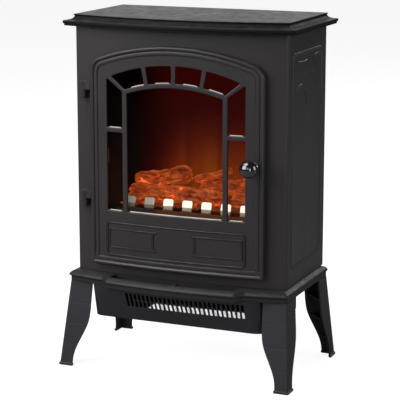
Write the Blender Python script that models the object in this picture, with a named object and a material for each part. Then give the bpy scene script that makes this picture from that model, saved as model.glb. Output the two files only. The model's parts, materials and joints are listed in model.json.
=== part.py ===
"""Free-standing electric stove heater: bowed steel body on four legs, hinged glazed door, log-effect firebox,
blower heater in the base. Metres, +Z up, front towards -Y.

The origin is on the floor under the middle of the box."""

import math

import bmesh
import bpy
from mathutils import Matrix, Vector

# Overall sizes
HEIGHT = 0.550
BODY_WIDTH = 0.347
BODY_DEPTH = 0.168
LEG_HEIGHT = 0.134
FRONT_BOW = 0.014  # how far the middle of the front stands ahead of its corners
BOW_STEPS = 16

# Walls and clearances
SHEET = 0.0015
GAP = 0.0003  # between pieces that touch
RUNNING = 0.0002  # round a turning shaft or pin

# Top plate
TOP_THICKNESS = 0.017
TOP_OVERHANG = 0.015
TOP_BOW = 0.027
TOP_COVE = 0.0145
TOP_WALL = 0.004
TOP_CORNER = 0.008

# Base plate
BASE_THICKNESS = 0.016
BASE_OVERHANG = 0.0095
BASE_FRONT_LEDGE = 0.0185
BASE_REAR_LEDGE = 0.003
BASE_BOW = 0.022
BASE_CORNER = 0.006
BREAK_WIDTH = 0.218
BREAK_STEP = 0.011
BASE_WALL = 0.005
RAIL_WIDTH = 0.009  # the strip left ahead of the recess in the base's ledge
RECESS_DEPTH = 0.004
RECESS_BOW = 0.008
RECESS_MARGIN = 0.004

# Legs
LEG_WALL = 0.003
LEG_INSET = 0.0025
LEG_FLARE = 0.0110
LEG_FLARE_FRONT = 0.0222
LEG_FLARE_REAR = 0.0152
FOOT_LIP = 0.0013
FOOT_LIP_HEIGHT = 0.004
LEG_ANKLE = 0.0215
LEG_CALF = 0.0405
RIB_THICKNESS = 0.002
RIB_COUNT = 3

# Door
DOOR_MARGIN = 0.031  # from the door's edge to the body's corner
DOOR_FOOT = 0.0155
DOOR_HEAD = 0.023
DOOR_ARCH = 0.372
DOOR_CORNER = 0.025
DOOR_GAP = 0.002
DOOR_THICKNESS = 0.008
RIM_WIDTH = 0.010
RIM_HEIGHT = 0.003
STILE = 0.0292
TOP_RAIL = 0.0295
LOWER_PANEL = 0.087
WINDOW_ARCH = 0.281
PANE_BAND = 0.026
SIDE_PANE = 0.027
BAR = 0.007
CROSSBAR_DROP = 0.099
GLASS = 0.003
GLASS_REBATE = 0.0045
GLASS_LAP = 0.006
LOOP_INSET = 0.0265
LOOP_WIDTH = 0.003
TABLET_HEIGHT = 0.0325
TABLET_NOTCH = 0.005
TABLET_EAR = 0.0085  # from the label's corner to the middle of the curve beside it
EMBOSS = 0.0012

# Hinges, knob and catch
PIVOT_OFFSET = 0.015  # from the door's edge to the hinge pins' axis
KNUCKLE_RADIUS = 0.006
KNUCKLE_HEIGHT = 0.0125
PIN_RADIUS = 0.002
HINGE_DROP = 0.0735
HINGE_RISE = 0.0890
TONGUE = 0.009  # how far each hinge arm runs into the door's edge
TONGUE_THICKNESS = 0.003
KNOB_RADIUS = 0.0137
KNOB_REACH = 0.0250
KNOB_HEIGHT = 0.1725
COLLAR_RADIUS = 0.0042
SCREW_RADIUS = 0.002
SCREW_HEAD = 0.0038
SCREW_SINK = 0.0022
STRIKE_WIDTH = 0.011
CATCH_DROP = 0.060  # from the knob down to the foot of the catch
CATCH_WIDTH = 0.010
CATCH_HEIGHT = 0.028

# Firebox
FIREBOX_MARGIN = 0.0092
FIREBOX_FLOOR_DROP = 0.0125
FIREBOX_HEAD = 0.0135
LIGHT_BOX = 0.064
LIGHT_BOX_SIDE = 0.050
SCREEN = 0.002
REFLECTOR_HEIGHT = 0.110
TOOTH_WIDTH = 0.0164
TOOTH_PITCH = 0.032
TOOTH_HEIGHT = 0.0247
TOOTH_COUNT = 7
GRATE_SETBACK = 0.0255
SPINDLE_RADIUS = 0.0025
PETAL_LENGTH = 0.024
PETAL_COUNT = 9

# Controls
CONTROL_WIDTH = 0.206
CONTROL_HEIGHT = 0.066
ROCKER_WIDTH = 0.0125
ROCKER_HEIGHT = 0.0188
ROCKER_PITCH = 0.032
ROCKER_COUNT = 3
ROCKER_FIRST = -0.070
ROCKER_TILT = 10.0
DIAL_X = 0.060
DIAL_RADIUS = 0.0155
DIAL_LENGTH = 0.015

# Heater
OUTLET_WIDTH = 0.277
OUTLET_DROP = 0.0535
OUTLET_DEPTH = 0.158
OUTLET_LEAN = 0.027
OUTLET_LEAN_END = 0.012
SLOT_PITCH = 0.0073
SLOT_WIDTH = 0.0044
SLOT_HEIGHT = 0.023
SLOT_COUNT = 27
SLOT_SHIFT = 0.019  # the slots sit off centre, clear of the motor
WHEEL_RADIUS = 0.019
WHEEL_LENGTH = 0.150
WHEEL_BLADES = 18
WHEEL_LEFT = SLOT_SHIFT + 0.002 - WHEEL_LENGTH / 2
WHEEL_RIGHT = WHEEL_LEFT + WHEEL_LENGTH
WHEEL_Y = 0.022
WHEEL_RISE = WHEEL_RADIUS + 0.027
SCROLL_FRONT = WHEEL_Y - WHEEL_RADIUS - 0.007
SCROLL_BACK = WHEEL_Y + WHEEL_RADIUS + 0.009
SCROLL_END = 0.004  # from the wheel's end to the outside of the scroll
SHAFT_RADIUS = 0.003
MOTOR_SIDE = 0.036
MOTOR_LENGTH = 0.036
THERMAL_X = 0.030
RIBBON_COUNT = 5

# Places worked out from the sizes above
HALF = BODY_WIDTH / 2
FRONT = -BODY_DEPTH / 2
REAR = BODY_DEPTH / 2
BASE_TOP = LEG_HEIGHT + BASE_THICKNESS
TOP_UNDER = HEIGHT - TOP_THICKNESS
PANEL_LOW = BASE_TOP + GAP
PANEL_HIGH = TOP_UNDER - GAP
DOOR_HALF = HALF - DOOR_MARGIN
DOOR_LOW = BASE_TOP + DOOR_FOOT
DOOR_HIGH = TOP_UNDER - DOOR_HEAD
DOOR_BACK = FRONT - DOOR_GAP
DOOR_FACE = DOOR_BACK - DOOR_THICKNESS
WINDOW_HALF = DOOR_HALF - STILE
WINDOW_LOW = DOOR_LOW + LOWER_PANEL
WINDOW_HIGH = DOOR_HIGH - TOP_RAIL
ARCH_CENTRE = WINDOW_HIGH - WINDOW_ARCH
MAIN_HALF = WINDOW_HALF - SIDE_PANE - BAR - 0.001
FIREBOX_HALF = WINDOW_HALF + FIREBOX_MARGIN
FLOOR_TOP = WINDOW_LOW - FIREBOX_FLOOR_DROP + SHEET
ROOF_UNDER = WINDOW_HIGH + FIREBOX_HEAD
SCREEN_FRONT = REAR - LIGHT_BOX
FIREBOX_BACK = SCREEN_FRONT + LIGHT_BOX_SIDE
PIVOT_X = -DOOR_HALF - PIVOT_OFFSET
CONTROL_MIDDLE = DOOR_LOW + 0.0365
SLOPE_LOW = LEG_HEIGHT - OUTLET_DROP
WHEEL_Z = BASE_TOP + WHEEL_RISE


# ---------------------------------------------------------------- curves of the front


def bow_depth(x):
    """How far the bowed front stands ahead of its corners at x, straight between evenly spaced stations."""
    step = BODY_WIDTH / BOW_STEPS
    low = math.floor(x / step)
    share = x / step - low

    def at(station):
        return FRONT_BOW * (1 - (station * step / HALF) ** 2)

    return at(low) * (1 - share) + at(low + 1) * share


PIVOT_Y = FRONT - bow_depth(PIVOT_X) - KNUCKLE_RADIUS - 0.0015
KNOB_X = DOOR_HALF - STILE / 2
KNOB_Z = DOOR_LOW + KNOB_HEIGHT
KNOB_FACE = DOOR_FACE - bow_depth(KNOB_X - COLLAR_RADIUS)
CATCH_X = KNOB_X + 0.003
CATCH_LOW = KNOB_Z - CATCH_DROP
KNOB_FRONT = KNOB_FACE - KNOB_REACH - KNOB_RADIUS
BASE_FRONT = FRONT - BASE_FRONT_LEDGE - BASE_BOW - BREAK_STEP
REAR_FOOT = REAR + BASE_REAR_LEDGE - LEG_INSET + LEG_FLARE_REAR + FOOT_LIP
MIDDLE_Y = (min(KNOB_FRONT, BASE_FRONT) + REAR_FOOT) / 2


# ---------------------------------------------------------------- materials


def material(name, color, roughness, metallic=0.0, alpha=1.0):
    made = bpy.data.materials.new(name)
    made.use_nodes = True
    shader = made.node_tree.nodes["Principled BSDF"]
    shader.inputs["Base Color"].default_value = (*color, 1.0)
    shader.inputs["Roughness"].default_value = roughness
    shader.inputs["Metallic"].default_value = metallic
    shader.inputs["Alpha"].default_value = alpha
    made.diffuse_color = (*color, alpha)
    return made


# ---------------------------------------------------------------- outlines


def arc(centre, radius, start, end, steps):
    """Points on a circle from one angle to another, in degrees."""
    turn = (end - start) / steps
    angles = [math.radians(start + turn * i) for i in range(steps + 1)]
    return [(centre[0] + radius * math.cos(a), centre[1] + radius * math.sin(a)) for a in angles]


def rectangle(left, right, low, high, corner=0.0, steps=3):
    if corner == 0.0:
        return [(left, low), (right, low), (right, high), (left, high)]
    inner = (left + corner, right - corner, low + corner, high - corner)
    return (
        arc((inner[1], inner[2]), corner, -90, 0, steps)
        + arc((inner[1], inner[3]), corner, 0, 90, steps)
        + arc((inner[0], inner[3]), corner, 90, 180, steps)
        + arc((inner[0], inner[2]), corner, 180, 270, steps)
    )


def arched(half, low, high, radius, corner, steps=12):
    """A panel outline with a square foot, upright sides, a segmental arch and rounded shoulders."""
    centre = high - radius
    shoulder = centre + math.sqrt((radius - corner) ** 2 - (half - corner) ** 2)
    turn = math.degrees(math.atan2(shoulder - centre, half - corner))
    return (
        [(-half, low), (half, low)]
        + arc((half - corner, shoulder), corner, 0, turn, 4)
        + arc((0, centre), radius, turn, 180 - turn, steps)[1:-1]
        + arc((corner - half, shoulder), corner, 180 - turn, 180, 4)
    )


def offset(points, distance):
    """The closed outline moved outwards by distance, with mitred corners. Points run anticlockwise."""
    moved = []
    for i, point in enumerate(points):
        before = Vector(point) - Vector(points[i - 1])
        after = Vector(points[(i + 1) % len(points)]) - Vector(point)
        first = Vector((before.y, -before.x)).normalized()
        second = Vector((after.y, -after.x)).normalized()
        mitre = (first + second) / (1 + first.dot(second))
        moved.append((point[0] + mitre.x * distance, point[1] + mitre.y * distance))
    return moved


def plan(half, front, rear, bow, corner, inset=0.0, break_half=0.0, step=0.0):
    """A plan outline, inset from its edge, whose bowed front may step forward in its middle."""
    half, front, rear = half - inset, front + inset, rear - inset
    corner = max(corner - inset, 0.001)
    reach = half - corner

    def front_y(x):
        return front - bow * (1 - (x / half) ** 2)

    if break_half:
        middle, ease = break_half - inset, step * 0.9
        wing = [middle + ease + (reach - middle - ease) * i / 3 for i in range(4)]
        right = [(middle, front_y(middle) - step), (middle + ease / 2, front_y(middle))]
        right += [(x, front_y(x)) for x in wing]
        centre = [(middle * i / 4, front_y(middle * i / 4) - step) for i in range(-3, 4)]
        edge = [(-x, y) for x, y in reversed(right)] + centre + right
    else:
        edge = [(x, front_y(x)) for x in (reach * (2 * i / BOW_STEPS - 1) for i in range(BOW_STEPS + 1))]
    return (
        arc((-reach, front + corner), corner, 180, 270, 3)[:-1]
        + edge
        + arc((reach, front + corner), corner, -90, 0, 3)[1:]
        + arc((reach, rear - corner), corner, 0, 90, 3)
        + arc((-reach, rear - corner), corner, 90, 180, 3)
    )


# ---------------------------------------------------------------- solids


def merged(bm):
    bmesh.ops.remove_doubles(bm, verts=bm.verts, dist=1e-7)
    bmesh.ops.recalc_face_normals(bm, faces=bm.faces)
    return bm


def axes_for(plane):
    """The turn that stands a flat outline up: its two axes become X and Z, Y and Z, or X and Y."""
    if plane == "XZ":
        return Matrix(((1, 0, 0, 0), (0, 0, 1, 0), (0, 1, 0, 0), (0, 0, 0, 1)))
    if plane == "YZ":
        return Matrix(((0, 0, 1, 0), (1, 0, 0, 0), (0, 1, 0, 0), (0, 0, 0, 1)))
    return Matrix.Identity(4)


def plate(outline, low, high, holes=(), plane="XZ"):
    """An outline with holes, thickened from low to high along the plane's normal."""
    curve = bpy.data.curves.new("outline", "CURVE")
    curve.dimensions = "2D"
    curve.fill_mode = "BOTH"
    curve.extrude = (high - low) / 2
    for loop in (outline, *holes):
        spline = curve.splines.new("POLY")
        spline.points.add(len(loop) - 1)
        for point, (u, v) in zip(spline.points, loop):
            point.co = (u, v, 0, 1)
        spline.use_cyclic_u = True
    guide = bpy.data.objects.new("outline", curve)
    bpy.context.scene.collection.objects.link(guide)
    graph = bpy.context.evaluated_depsgraph_get()
    mesh = bpy.data.meshes.new_from_object(guide.evaluated_get(graph))
    bm = bmesh.new()
    bm.from_mesh(mesh)
    bpy.data.objects.remove(guide)
    bpy.data.meshes.remove(mesh)
    bmesh.ops.transform(bm, matrix=Matrix.Translation((0, 0, (low + high) / 2)), verts=bm.verts)
    bmesh.ops.transform(bm, matrix=axes_for(plane), verts=bm.verts)
    return merged(bm)


def box(x, y, z):
    """A box from three (low, high) pairs."""
    bm = bmesh.new()
    size = Vector((x[1] - x[0], y[1] - y[0], z[1] - z[0]))
    middle = Vector((x[0] + x[1], y[0] + y[1], z[0] + z[1])) / 2
    bmesh.ops.create_cube(bm, size=1.0, matrix=Matrix.Translation(middle) @ Matrix.Diagonal((*size, 1)))
    return bm


def cylinder(start, end, radius, far_radius=None, sides=16):
    start, end = Vector(start), Vector(end)
    along = end - start
    turn = along.to_track_quat("Z", "Y").to_matrix().to_4x4()
    bm = bmesh.new()
    bmesh.ops.create_cone(
        bm,
        cap_ends=True,
        segments=sides,
        radius1=radius,
        radius2=radius if far_radius is None else far_radius,
        depth=along.length,
        matrix=Matrix.Translation((start + end) / 2) @ turn,
    )
    return bm


def turned(profile, start, direction, sides=24):
    """A solid of revolution: profile points are (radius, distance from start along direction)."""
    turn = Vector(direction).to_track_quat("Z", "Y").to_matrix().to_4x4()
    bm = bmesh.new()
    verts = [bm.verts.new((radius, 0, height)) for radius, height in profile]
    edges = [bm.edges.new((a, b)) for a, b in zip(verts, verts[1:])]
    bmesh.ops.spin(
        bm, geom=verts + edges, axis=(0, 0, 1), cent=(0, 0, 0), angle=math.tau, steps=sides, use_merge=True
    )
    bmesh.ops.transform(bm, matrix=Matrix.Translation(start) @ turn, verts=bm.verts)
    return merged(bm)


def loft(rings):
    """A closed solid through rings of points that all have the same count."""
    bm = bmesh.new()
    made = [[bm.verts.new(point) for point in ring] for ring in rings]
    for lower, upper in zip(made, made[1:]):
        for i in range(len(lower)):
            j = (i + 1) % len(lower)
            bm.faces.new((lower[i], lower[j], upper[j], upper[i]))
    bm.faces.new(reversed(made[0]))
    bm.faces.new(made[-1])
    return merged(bm)


def to_object(bm, name="shape"):
    mesh = bpy.data.meshes.new(name)
    bm.to_mesh(mesh)
    bm.free()
    made = bpy.data.objects.new(name, mesh)
    bpy.context.scene.collection.objects.link(made)
    return made


def combine(base, operation, others):
    """The base shape with the others joined on, or cut away, as a new bmesh."""
    held = to_object(base)
    tools = [to_object(other) for other in others]
    for tool in tools:
        modifier = held.modifiers.new(operation.lower(), "BOOLEAN")
        modifier.operation = operation
        modifier.solver = "EXACT"
        modifier.object = tool
    graph = bpy.context.evaluated_depsgraph_get()
    mesh = bpy.data.meshes.new_from_object(held.evaluated_get(graph))
    bm = bmesh.new()
    bm.from_mesh(mesh)
    for used in [held, *tools]:
        bpy.data.objects.remove(used)
    bmesh.ops.remove_doubles(bm, verts=bm.verts, dist=1e-6)
    bmesh.ops.dissolve_degenerate(bm, edges=bm.edges, dist=1e-6)
    return bm


def join(base, *others):
    return combine(base, "UNION", others)


def cut(base, *others):
    return combine(base, "DIFFERENCE", others)


def bowed(bm, front_only=None):
    """Bends a flat piece to the bowed front. With front_only, only points ahead of that Y move."""
    step = BODY_WIDTH / BOW_STEPS
    reach = max(abs(v.co.x) for v in bm.verts)
    last = math.ceil(reach / step)
    for i in range(-last, last + 1):
        geometry = bm.verts[:] + bm.edges[:] + bm.faces[:]
        bmesh.ops.bisect_plane(bm, geom=geometry, dist=1e-6, plane_co=(i * step, 0, 0), plane_no=(1, 0, 0))
    for vert in bm.verts:
        if front_only is None or vert.co.y < front_only:
            vert.co.y -= bow_depth(vert.co.x)
    bmesh.ops.dissolve_degenerate(bm, edges=bm.edges, dist=1e-6)
    return bm


def mirrored(bm, x=1, y=1):
    copy = bm.copy()
    bmesh.ops.transform(copy, matrix=Matrix.Diagonal((x, y, 1, 1)), verts=copy.verts)
    if x * y < 0:
        bmesh.ops.reverse_faces(copy, faces=copy.faces)
    return copy


# ---------------------------------------------------------------- objects in the scene


def empty(name, place, parent=None):
    made = bpy.data.objects.new(name, None)
    made.location = place
    made.parent = parent
    bpy.context.scene.collection.objects.link(made)
    return made


def add(name, bm, finish, parent, origin=(0, 0, 0), smooth=False):
    """Puts a finished shape in the scene, with its origin at a point given in the stove's own coordinates."""
    bmesh.ops.transform(bm, matrix=Matrix.Translation(-Vector(origin)), verts=bm.verts)
    made = to_object(bm, name)
    made.data.materials.append(finish)
    made.parent = parent
    made.location = Vector(origin) - Vector(parent.get("place", (0, 0, 0)))
    if smooth:
        made.data.shade_smooth()
        made.data.set_sharp_from_angle(angle=math.radians(35))
    return made


# ---------------------------------------------------------------- casing


def base_outline(inset):
    return plan(
        HALF + BASE_OVERHANG,
        FRONT - BASE_FRONT_LEDGE,
        REAR + BASE_REAR_LEDGE,
        BASE_BOW,
        BASE_CORNER,
        inset=inset,
        break_half=BREAK_WIDTH / 2,
        step=BREAK_STEP,
    )


def build_base(finish, stove):
    profile = (
        (0.0025, LEG_HEIGHT),
        (0.0025, LEG_HEIGHT + 0.0065),
        (0.0, LEG_HEIGHT + 0.0080),
        (0.0, LEG_HEIGHT + 0.0110),
        (0.0025, LEG_HEIGHT + 0.0130),
        (0.0070, BASE_TOP),
    )
    shape = loft([[(x, y, z) for x, y in base_outline(inset)] for inset, z in profile])
    half = BREAK_WIDTH / 2 - RECESS_MARGIN
    stations = [half * (i / 6 - 1) for i in range(13)]
    recess = [(x, BASE_FRONT + RAIL_WIDTH + RECESS_BOW * (x / half) ** 2) for x in stations]
    recess += [(x, FRONT - bow_depth(x) - RECESS_MARGIN) for x in reversed(stations)]
    tray = plate(recess, BASE_TOP - RECESS_DEPTH, BASE_TOP + 0.01, plane="XY")
    chamber = box(
        (-OUTLET_WIDTH / 2 - GAP, OUTLET_WIDTH / 2 + GAP),
        (FRONT - 0.008, REAR - 0.018),
        (LEG_HEIGHT - 0.01, BASE_TOP - BASE_WALL),
    )
    duct = box((WHEEL_LEFT, WHEEL_RIGHT), (0.0, 0.044), (LEG_HEIGHT, BASE_TOP + 0.01))
    add("base_plate", cut(shape, chamber, duct, tray), finish, stove)


def build_top(finish, stove):
    def outline(inset):
        half = HALF + TOP_OVERHANG
        return plan(half, FRONT - TOP_OVERHANG, REAR + TOP_OVERHANG, TOP_BOW, TOP_CORNER, inset=inset)

    profile = (
        (0.0020, TOP_UNDER),
        (0.0020, TOP_UNDER + 0.0030),
        (0.0, TOP_UNDER + 0.0038),
        (0.0, TOP_UNDER + 0.0075),
        (0.0060, TOP_UNDER + 0.0095),
        (0.0105, TOP_UNDER + 0.0128),
        (0.0130, TOP_UNDER + 0.0160),
        (TOP_COVE, HEIGHT),
    )
    shape = loft([[(x, y, z) for x, y in outline(inset)] for inset, z in profile])
    pocket = plate(outline(TOP_COVE + TOP_WALL), TOP_UNDER - 0.01, HEIGHT - TOP_WALL, plane="XY")
    add("top_plate", cut(shape, pocket), finish, stove)


def control_window(margin=0.0):
    half, low = CONTROL_WIDTH / 2 + margin, CONTROL_MIDDLE - CONTROL_HEIGHT / 2 - margin
    return rectangle(-half, half, low, CONTROL_MIDDLE + CONTROL_HEIGHT / 2 + margin, 0.006)


def build_front(finish, stove):
    window = arched(
        WINDOW_HALF + 0.004, WINDOW_LOW - 0.005, WINDOW_HIGH + 0.004, WINDOW_ARCH + 0.004, 0.006, steps=10
    )
    spare = 0.0008
    catch = rectangle(
        CATCH_X - CATCH_WIDTH / 2 - spare,
        CATCH_X + CATCH_WIDTH / 2 + spare,
        CATCH_LOW - spare,
        CATCH_LOW + CATCH_HEIGHT + spare,
    )
    edge = rectangle(-HALF, HALF, PANEL_LOW, PANEL_HIGH)
    sheet = plate(edge, FRONT, FRONT + SHEET, (window, control_window(), catch))
    add("front_panel", bowed(sheet), finish, stove)


def build_sides(finish, stove):
    low_y, high_y = FRONT + SHEET + GAP, REAR - SHEET - GAP
    sheet = box((HALF - SHEET, HALF), (low_y, high_y), (PANEL_LOW, PANEL_HIGH))
    flange = 0.009
    front_flange = box((HALF - flange, HALF - 0.0005), (low_y, low_y + SHEET), (PANEL_LOW, PANEL_HIGH))
    rear_flange = box((HALF - flange, HALF - 0.0005), (high_y - SHEET, high_y), (PANEL_LOW, PANEL_HIGH))
    frame = rectangle(low_y + 0.016, high_y - 0.016, PANEL_LOW + 0.027, PANEL_HIGH - 0.030, 0.010)
    bead = plate(frame, HALF - 0.0005, HALF + 0.0009, (offset(frame, -0.004),), plane="YZ")
    right = join(sheet, front_flange, rear_flange, bead)
    add("left_side_panel", mirrored(right, x=-1), finish, stove)
    add("right_side_panel", right, finish, stove)


def build_back(finish, gland_finish, stove):
    slots = []
    for row, (count, height) in enumerate(((15, BASE_TOP + 0.050), (15, PANEL_HIGH - 0.040))):
        for i in range(count):
            x = (i - (count - 1) / 2) * 0.0125 + (SLOT_SHIFT if row == 0 else 0.0)
            slots.append(rectangle(x - 0.003, x + 0.003, height - 0.016, height + 0.016))
    gland_x, gland_z = -HALF + 0.040, BASE_TOP + 0.030
    hole = arc((gland_x, gland_z), 0.0065, 0, 337.5, 15)
    edge_x, edge_z = HALF - 0.0055, 0.020
    holes = [
        arc((side * edge_x, height), SCREW_RADIUS + RUNNING, 0, 315, 7)
        for side in (-1, 1)
        for height in (PANEL_LOW + edge_z, PANEL_HIGH - edge_z)
    ]
    cover = plate(
        rectangle(-HALF, HALF, PANEL_LOW, PANEL_HIGH), REAR - SHEET, REAR, (*slots, hole, *holes)
    )
    add("back_cover", cover, finish, stove)
    profile = [(0.0038, -0.0045), (0.0062, -0.0045), (0.0062, 0.0003), (0.0095, 0.0003)]
    profile += [(0.0095, 0.0026), (0.0060, 0.0046), (0.0060, 0.0100), (0.0038, 0.0100), (0.0038, -0.0045)]
    gland = turned(profile, (gland_x, REAR, gland_z), (0, 1, 0), 16)
    add("cord_inlet", gland, gland_finish, stove, smooth=True)


def screw_shape(place, out, length):
    """A pan-head screw whose head sits just off the surface at place."""
    shank = SCREW_RADIUS * 0.85
    profile = [(0, -length), (shank, -length), (shank, GAP), (SCREW_HEAD, GAP)]
    profile += [(SCREW_HEAD, 0.0012), (SCREW_HEAD * 0.6, 0.0017), (0, 0.0019)]
    return turned(profile, place, out, 12)


# ---------------------------------------------------------------- legs


def leg_width(height):
    """Width of each face: a slim ankle that swells to a calf, then eases off to the top."""
    share = min(max((height - 0.012) / 0.068, 0.0), 1.0)
    swell = (LEG_CALF - LEG_ANKLE) * share * share * (3 - 2 * share)
    return LEG_ANKLE + swell - max(height - 0.090, 0.0) * 0.055


def build_legs(finish, stove):
    top = LEG_HEIGHT - GAP
    heights = [0.0, FOOT_LIP_HEIGHT, FOOT_LIP_HEIGHT + 0.0005, 0.018]
    heights += [top * share for share in (0.22, 0.32, 0.42, 0.52, 0.66, 0.83, 1.0)]

    def corner(height, flare, side_y):
        drop = 1 - height / top
        return (
            HALF + BASE_OVERHANG - LEG_INSET + LEG_FLARE * drop,
            side_y + flare * drop,
        )

    def section(height, flare, side_y):
        x, y = corner(height, flare, side_y)
        width = leg_width(height)
        lip = FOOT_LIP if height <= FOOT_LIP_HEIGHT else 0.0
        x, y, inner = x + lip, y + lip, width + 2 * lip
        wall = LEG_WALL + 2 * lip
        points = [(x, y), (x - inner, y), (x - inner, y - wall), (x - wall, y - wall)]
        points += [(x - wall, y - inner), (x, y - inner)]
        return [(px, py, height) for px, py in points]

    def rib(height, thickness, flare, side_y):
        x, y = corner(height, flare, side_y)
        reach = leg_width(height) - 0.002
        points = [(x - 0.001, y - 0.001), (x - reach, y - 0.001), (x - 0.001, y - reach)]
        return plate(points[::-1], height - thickness, height, plane="XY")

    for end, flare, side_y in (
        ("front", LEG_FLARE_FRONT, -FRONT + BASE_FRONT_LEDGE - LEG_INSET),
        ("rear", LEG_FLARE_REAR, REAR + BASE_REAR_LEDGE - LEG_INSET),
    ):
        shell = loft([section(height, flare, side_y) for height in heights])
        ribs = [rib(top * (0.25 * (i + 1)), RIB_THICKNESS, flare, side_y) for i in range(RIB_COUNT)]
        leg = join(shell, rib(top, LEG_WALL, flare, side_y), *ribs)
        turn = -1 if end == "front" else 1
        add(f"{end}_left_leg", mirrored(leg, x=-1, y=turn), finish, stove)
        add(f"{end}_right_leg", mirrored(leg, y=turn), finish, stove)


# ---------------------------------------------------------------- door


def window_panes():
    """The main window, a row of four panes over it and two panes down each side."""
    middle = (0, ARCH_CENTRE)
    outer, inner = WINDOW_ARCH, WINDOW_ARCH - PANE_BAND
    main_arch = inner - BAR
    rise = math.sqrt(main_arch**2 - MAIN_HALF**2)
    turn = math.degrees(math.atan2(rise, MAIN_HALF))
    main = [(-MAIN_HALF, WINDOW_LOW), (MAIN_HALF, WINDOW_LOW)]
    main += arc(middle, main_arch, turn, 180 - turn, 10)
    bar_turn = math.degrees(BAR / (outer + inner))
    spread = math.degrees((WINDOW_HALF - SIDE_PANE - BAR / 2) * 0.575 / (outer - PANE_BAND / 2))
    end_out = math.degrees(math.asin((WINDOW_HALF - 0.0078) / outer))
    end_in = math.degrees(math.asin((MAIN_HALF + 0.0035) / inner))
    first = arc(middle, inner, 90 - spread + bar_turn, 90 - bar_turn, 3)
    first += arc(middle, outer, 90 - bar_turn, 90 - spread + bar_turn, 3)
    second = arc(middle, inner, 90 - end_in, 90 - spread - bar_turn, 3)
    second += arc(middle, outer, 90 - spread - bar_turn, 90 - end_out, 3)
    left, right = WINDOW_HALF - SIDE_PANE, WINDOW_HALF
    head_out = ARCH_CENTRE + math.sqrt(outer**2 - right**2) + 0.0005
    head_in = head_out - 0.0195
    cross = WINDOW_HIGH - CROSSBAR_DROP
    upper = [(left, cross), (right, cross), (right, head_out), (left, head_in)]
    lower = rectangle(left, right, WINDOW_LOW, cross - BAR)
    panes = [first, second, upper, lower]
    return [main, *panes, *([(-x, z) for x, z in reversed(pane)] for pane in panes)]


def tablet(side):
    """A raised label whose inner end is waisted between its corners, left blank."""
    high = CONTROL_MIDDLE + 0.0075 + TABLET_HEIGHT / 2
    low = high - TABLET_HEIGHT
    near, far = 0.028, DOOR_HALF - LOOP_INSET - 0.0050
    outline = [(far, low), (far, high), (near, high)]
    outline += arc((near, high - TABLET_EAR), TABLET_NOTCH, 90, 0, 3)
    outline += arc((near, low + TABLET_EAR), TABLET_NOTCH, 0, -90, 3)
    outline.append((near, low))
    if side > 0:
        return outline
    return [(-x, z) for x, z in reversed(outline)]


def hinge_levels():
    return (("upper", DOOR_HIGH - HINGE_DROP), ("lower", DOOR_LOW + HINGE_RISE + KNUCKLE_HEIGHT))


def hinge_tongue(left, level, spare):
    """The flat tongue of a hinge arm before it is bent to the bow, larger all round by spare."""
    middle = DOOR_BACK - DOOR_THICKNESS / 2
    depth = TONGUE_THICKNESS / 2 + spare
    reach = -DOOR_HALF + TONGUE - GAP + spare
    heights = (level - spare, level + KNUCKLE_HEIGHT + spare)
    return box((left, reach), (middle - depth, middle + depth), heights)


def build_door(finishes, door):
    edge = arched(DOOR_HALF, DOOR_LOW, DOOR_HIGH, DOOR_ARCH, DOOR_CORNER, 14)
    face = (DOOR_FACE - EMBOSS, DOOR_FACE + 0.001)
    body = plate(edge, DOOR_FACE, DOOR_BACK, window_panes())
    rim_hole = offset(edge, -RIM_WIDTH)
    rim = plate(offset(edge, -0.001), DOOR_FACE - RIM_HEIGHT, DOOR_FACE + 0.001, (rim_hole,))
    loop_half = DOOR_HALF - LOOP_INSET
    loop_edge = rectangle(-loop_half, loop_half, DOOR_LOW + 0.0155, DOOR_LOW + LOWER_PANEL - 0.017, 0.010)
    loop = plate(loop_edge, *face, (offset(loop_edge, -LOOP_WIDTH),))
    tablets = [plate(tablet(side), *face) for side in (-1, 1)]
    lap = GLASS_LAP
    rebate_edge = arched(WINDOW_HALF + lap, WINDOW_LOW - lap, WINDOW_HIGH + lap, WINDOW_ARCH, 0.012, 12)
    rebate = plate(rebate_edge, DOOR_BACK - GLASS_REBATE, DOOR_BACK + 0.001)
    tongue_slots = [hinge_tongue(-DOOR_HALF - 0.001, level, GAP) for _, level in hinge_levels()]
    ahead, behind = DOOR_FACE - 0.01, DOOR_BACK + 0.01
    bore = SCREW_RADIUS + RUNNING
    screw_hole = cylinder((KNOB_X, ahead, KNOB_Z), (KNOB_X, behind, KNOB_Z), bore, sides=12)
    sink_from = (KNOB_X, DOOR_BACK - SCREW_SINK, KNOB_Z)
    screw_sink = cylinder(sink_from, (KNOB_X, behind, KNOB_Z), SCREW_HEAD + 0.0006, sides=12)
    seat_half = STRIKE_WIDTH / 2 + 0.0005
    strike_seat = box(
        (CATCH_X - seat_half, CATCH_X + seat_half),
        (DOOR_BACK - 0.0015, DOOR_BACK + 0.001),
        (CATCH_LOW - 0.001, CATCH_LOW + CATCH_HEIGHT + 0.001),
    )
    shape = cut(join(body, rim, loop, *tablets), rebate, *tongue_slots, screw_hole, screw_sink, strike_seat)
    add("door_frame", bowed(shape), finishes["door"], door)
    glass_front = DOOR_BACK - GLASS_REBATE + GAP
    glass = plate(offset(rebate_edge, -0.0005), glass_front, glass_front + GLASS)
    add("door_glass", bowed(glass), finishes["glass"], door)
    build_glass_clips(finishes["steel"], door, glass_front + GLASS)
    strike = box(
        (CATCH_X - STRIKE_WIDTH / 2, CATCH_X + STRIKE_WIDTH / 2),
        (DOOR_BACK - 0.0012, DOOR_BACK - 0.0002),
        (CATCH_LOW, CATCH_LOW + CATCH_HEIGHT),
    )
    add("strike_plate", bowed(strike), finishes["steel"], door)
    build_knob(finishes, door)


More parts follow.
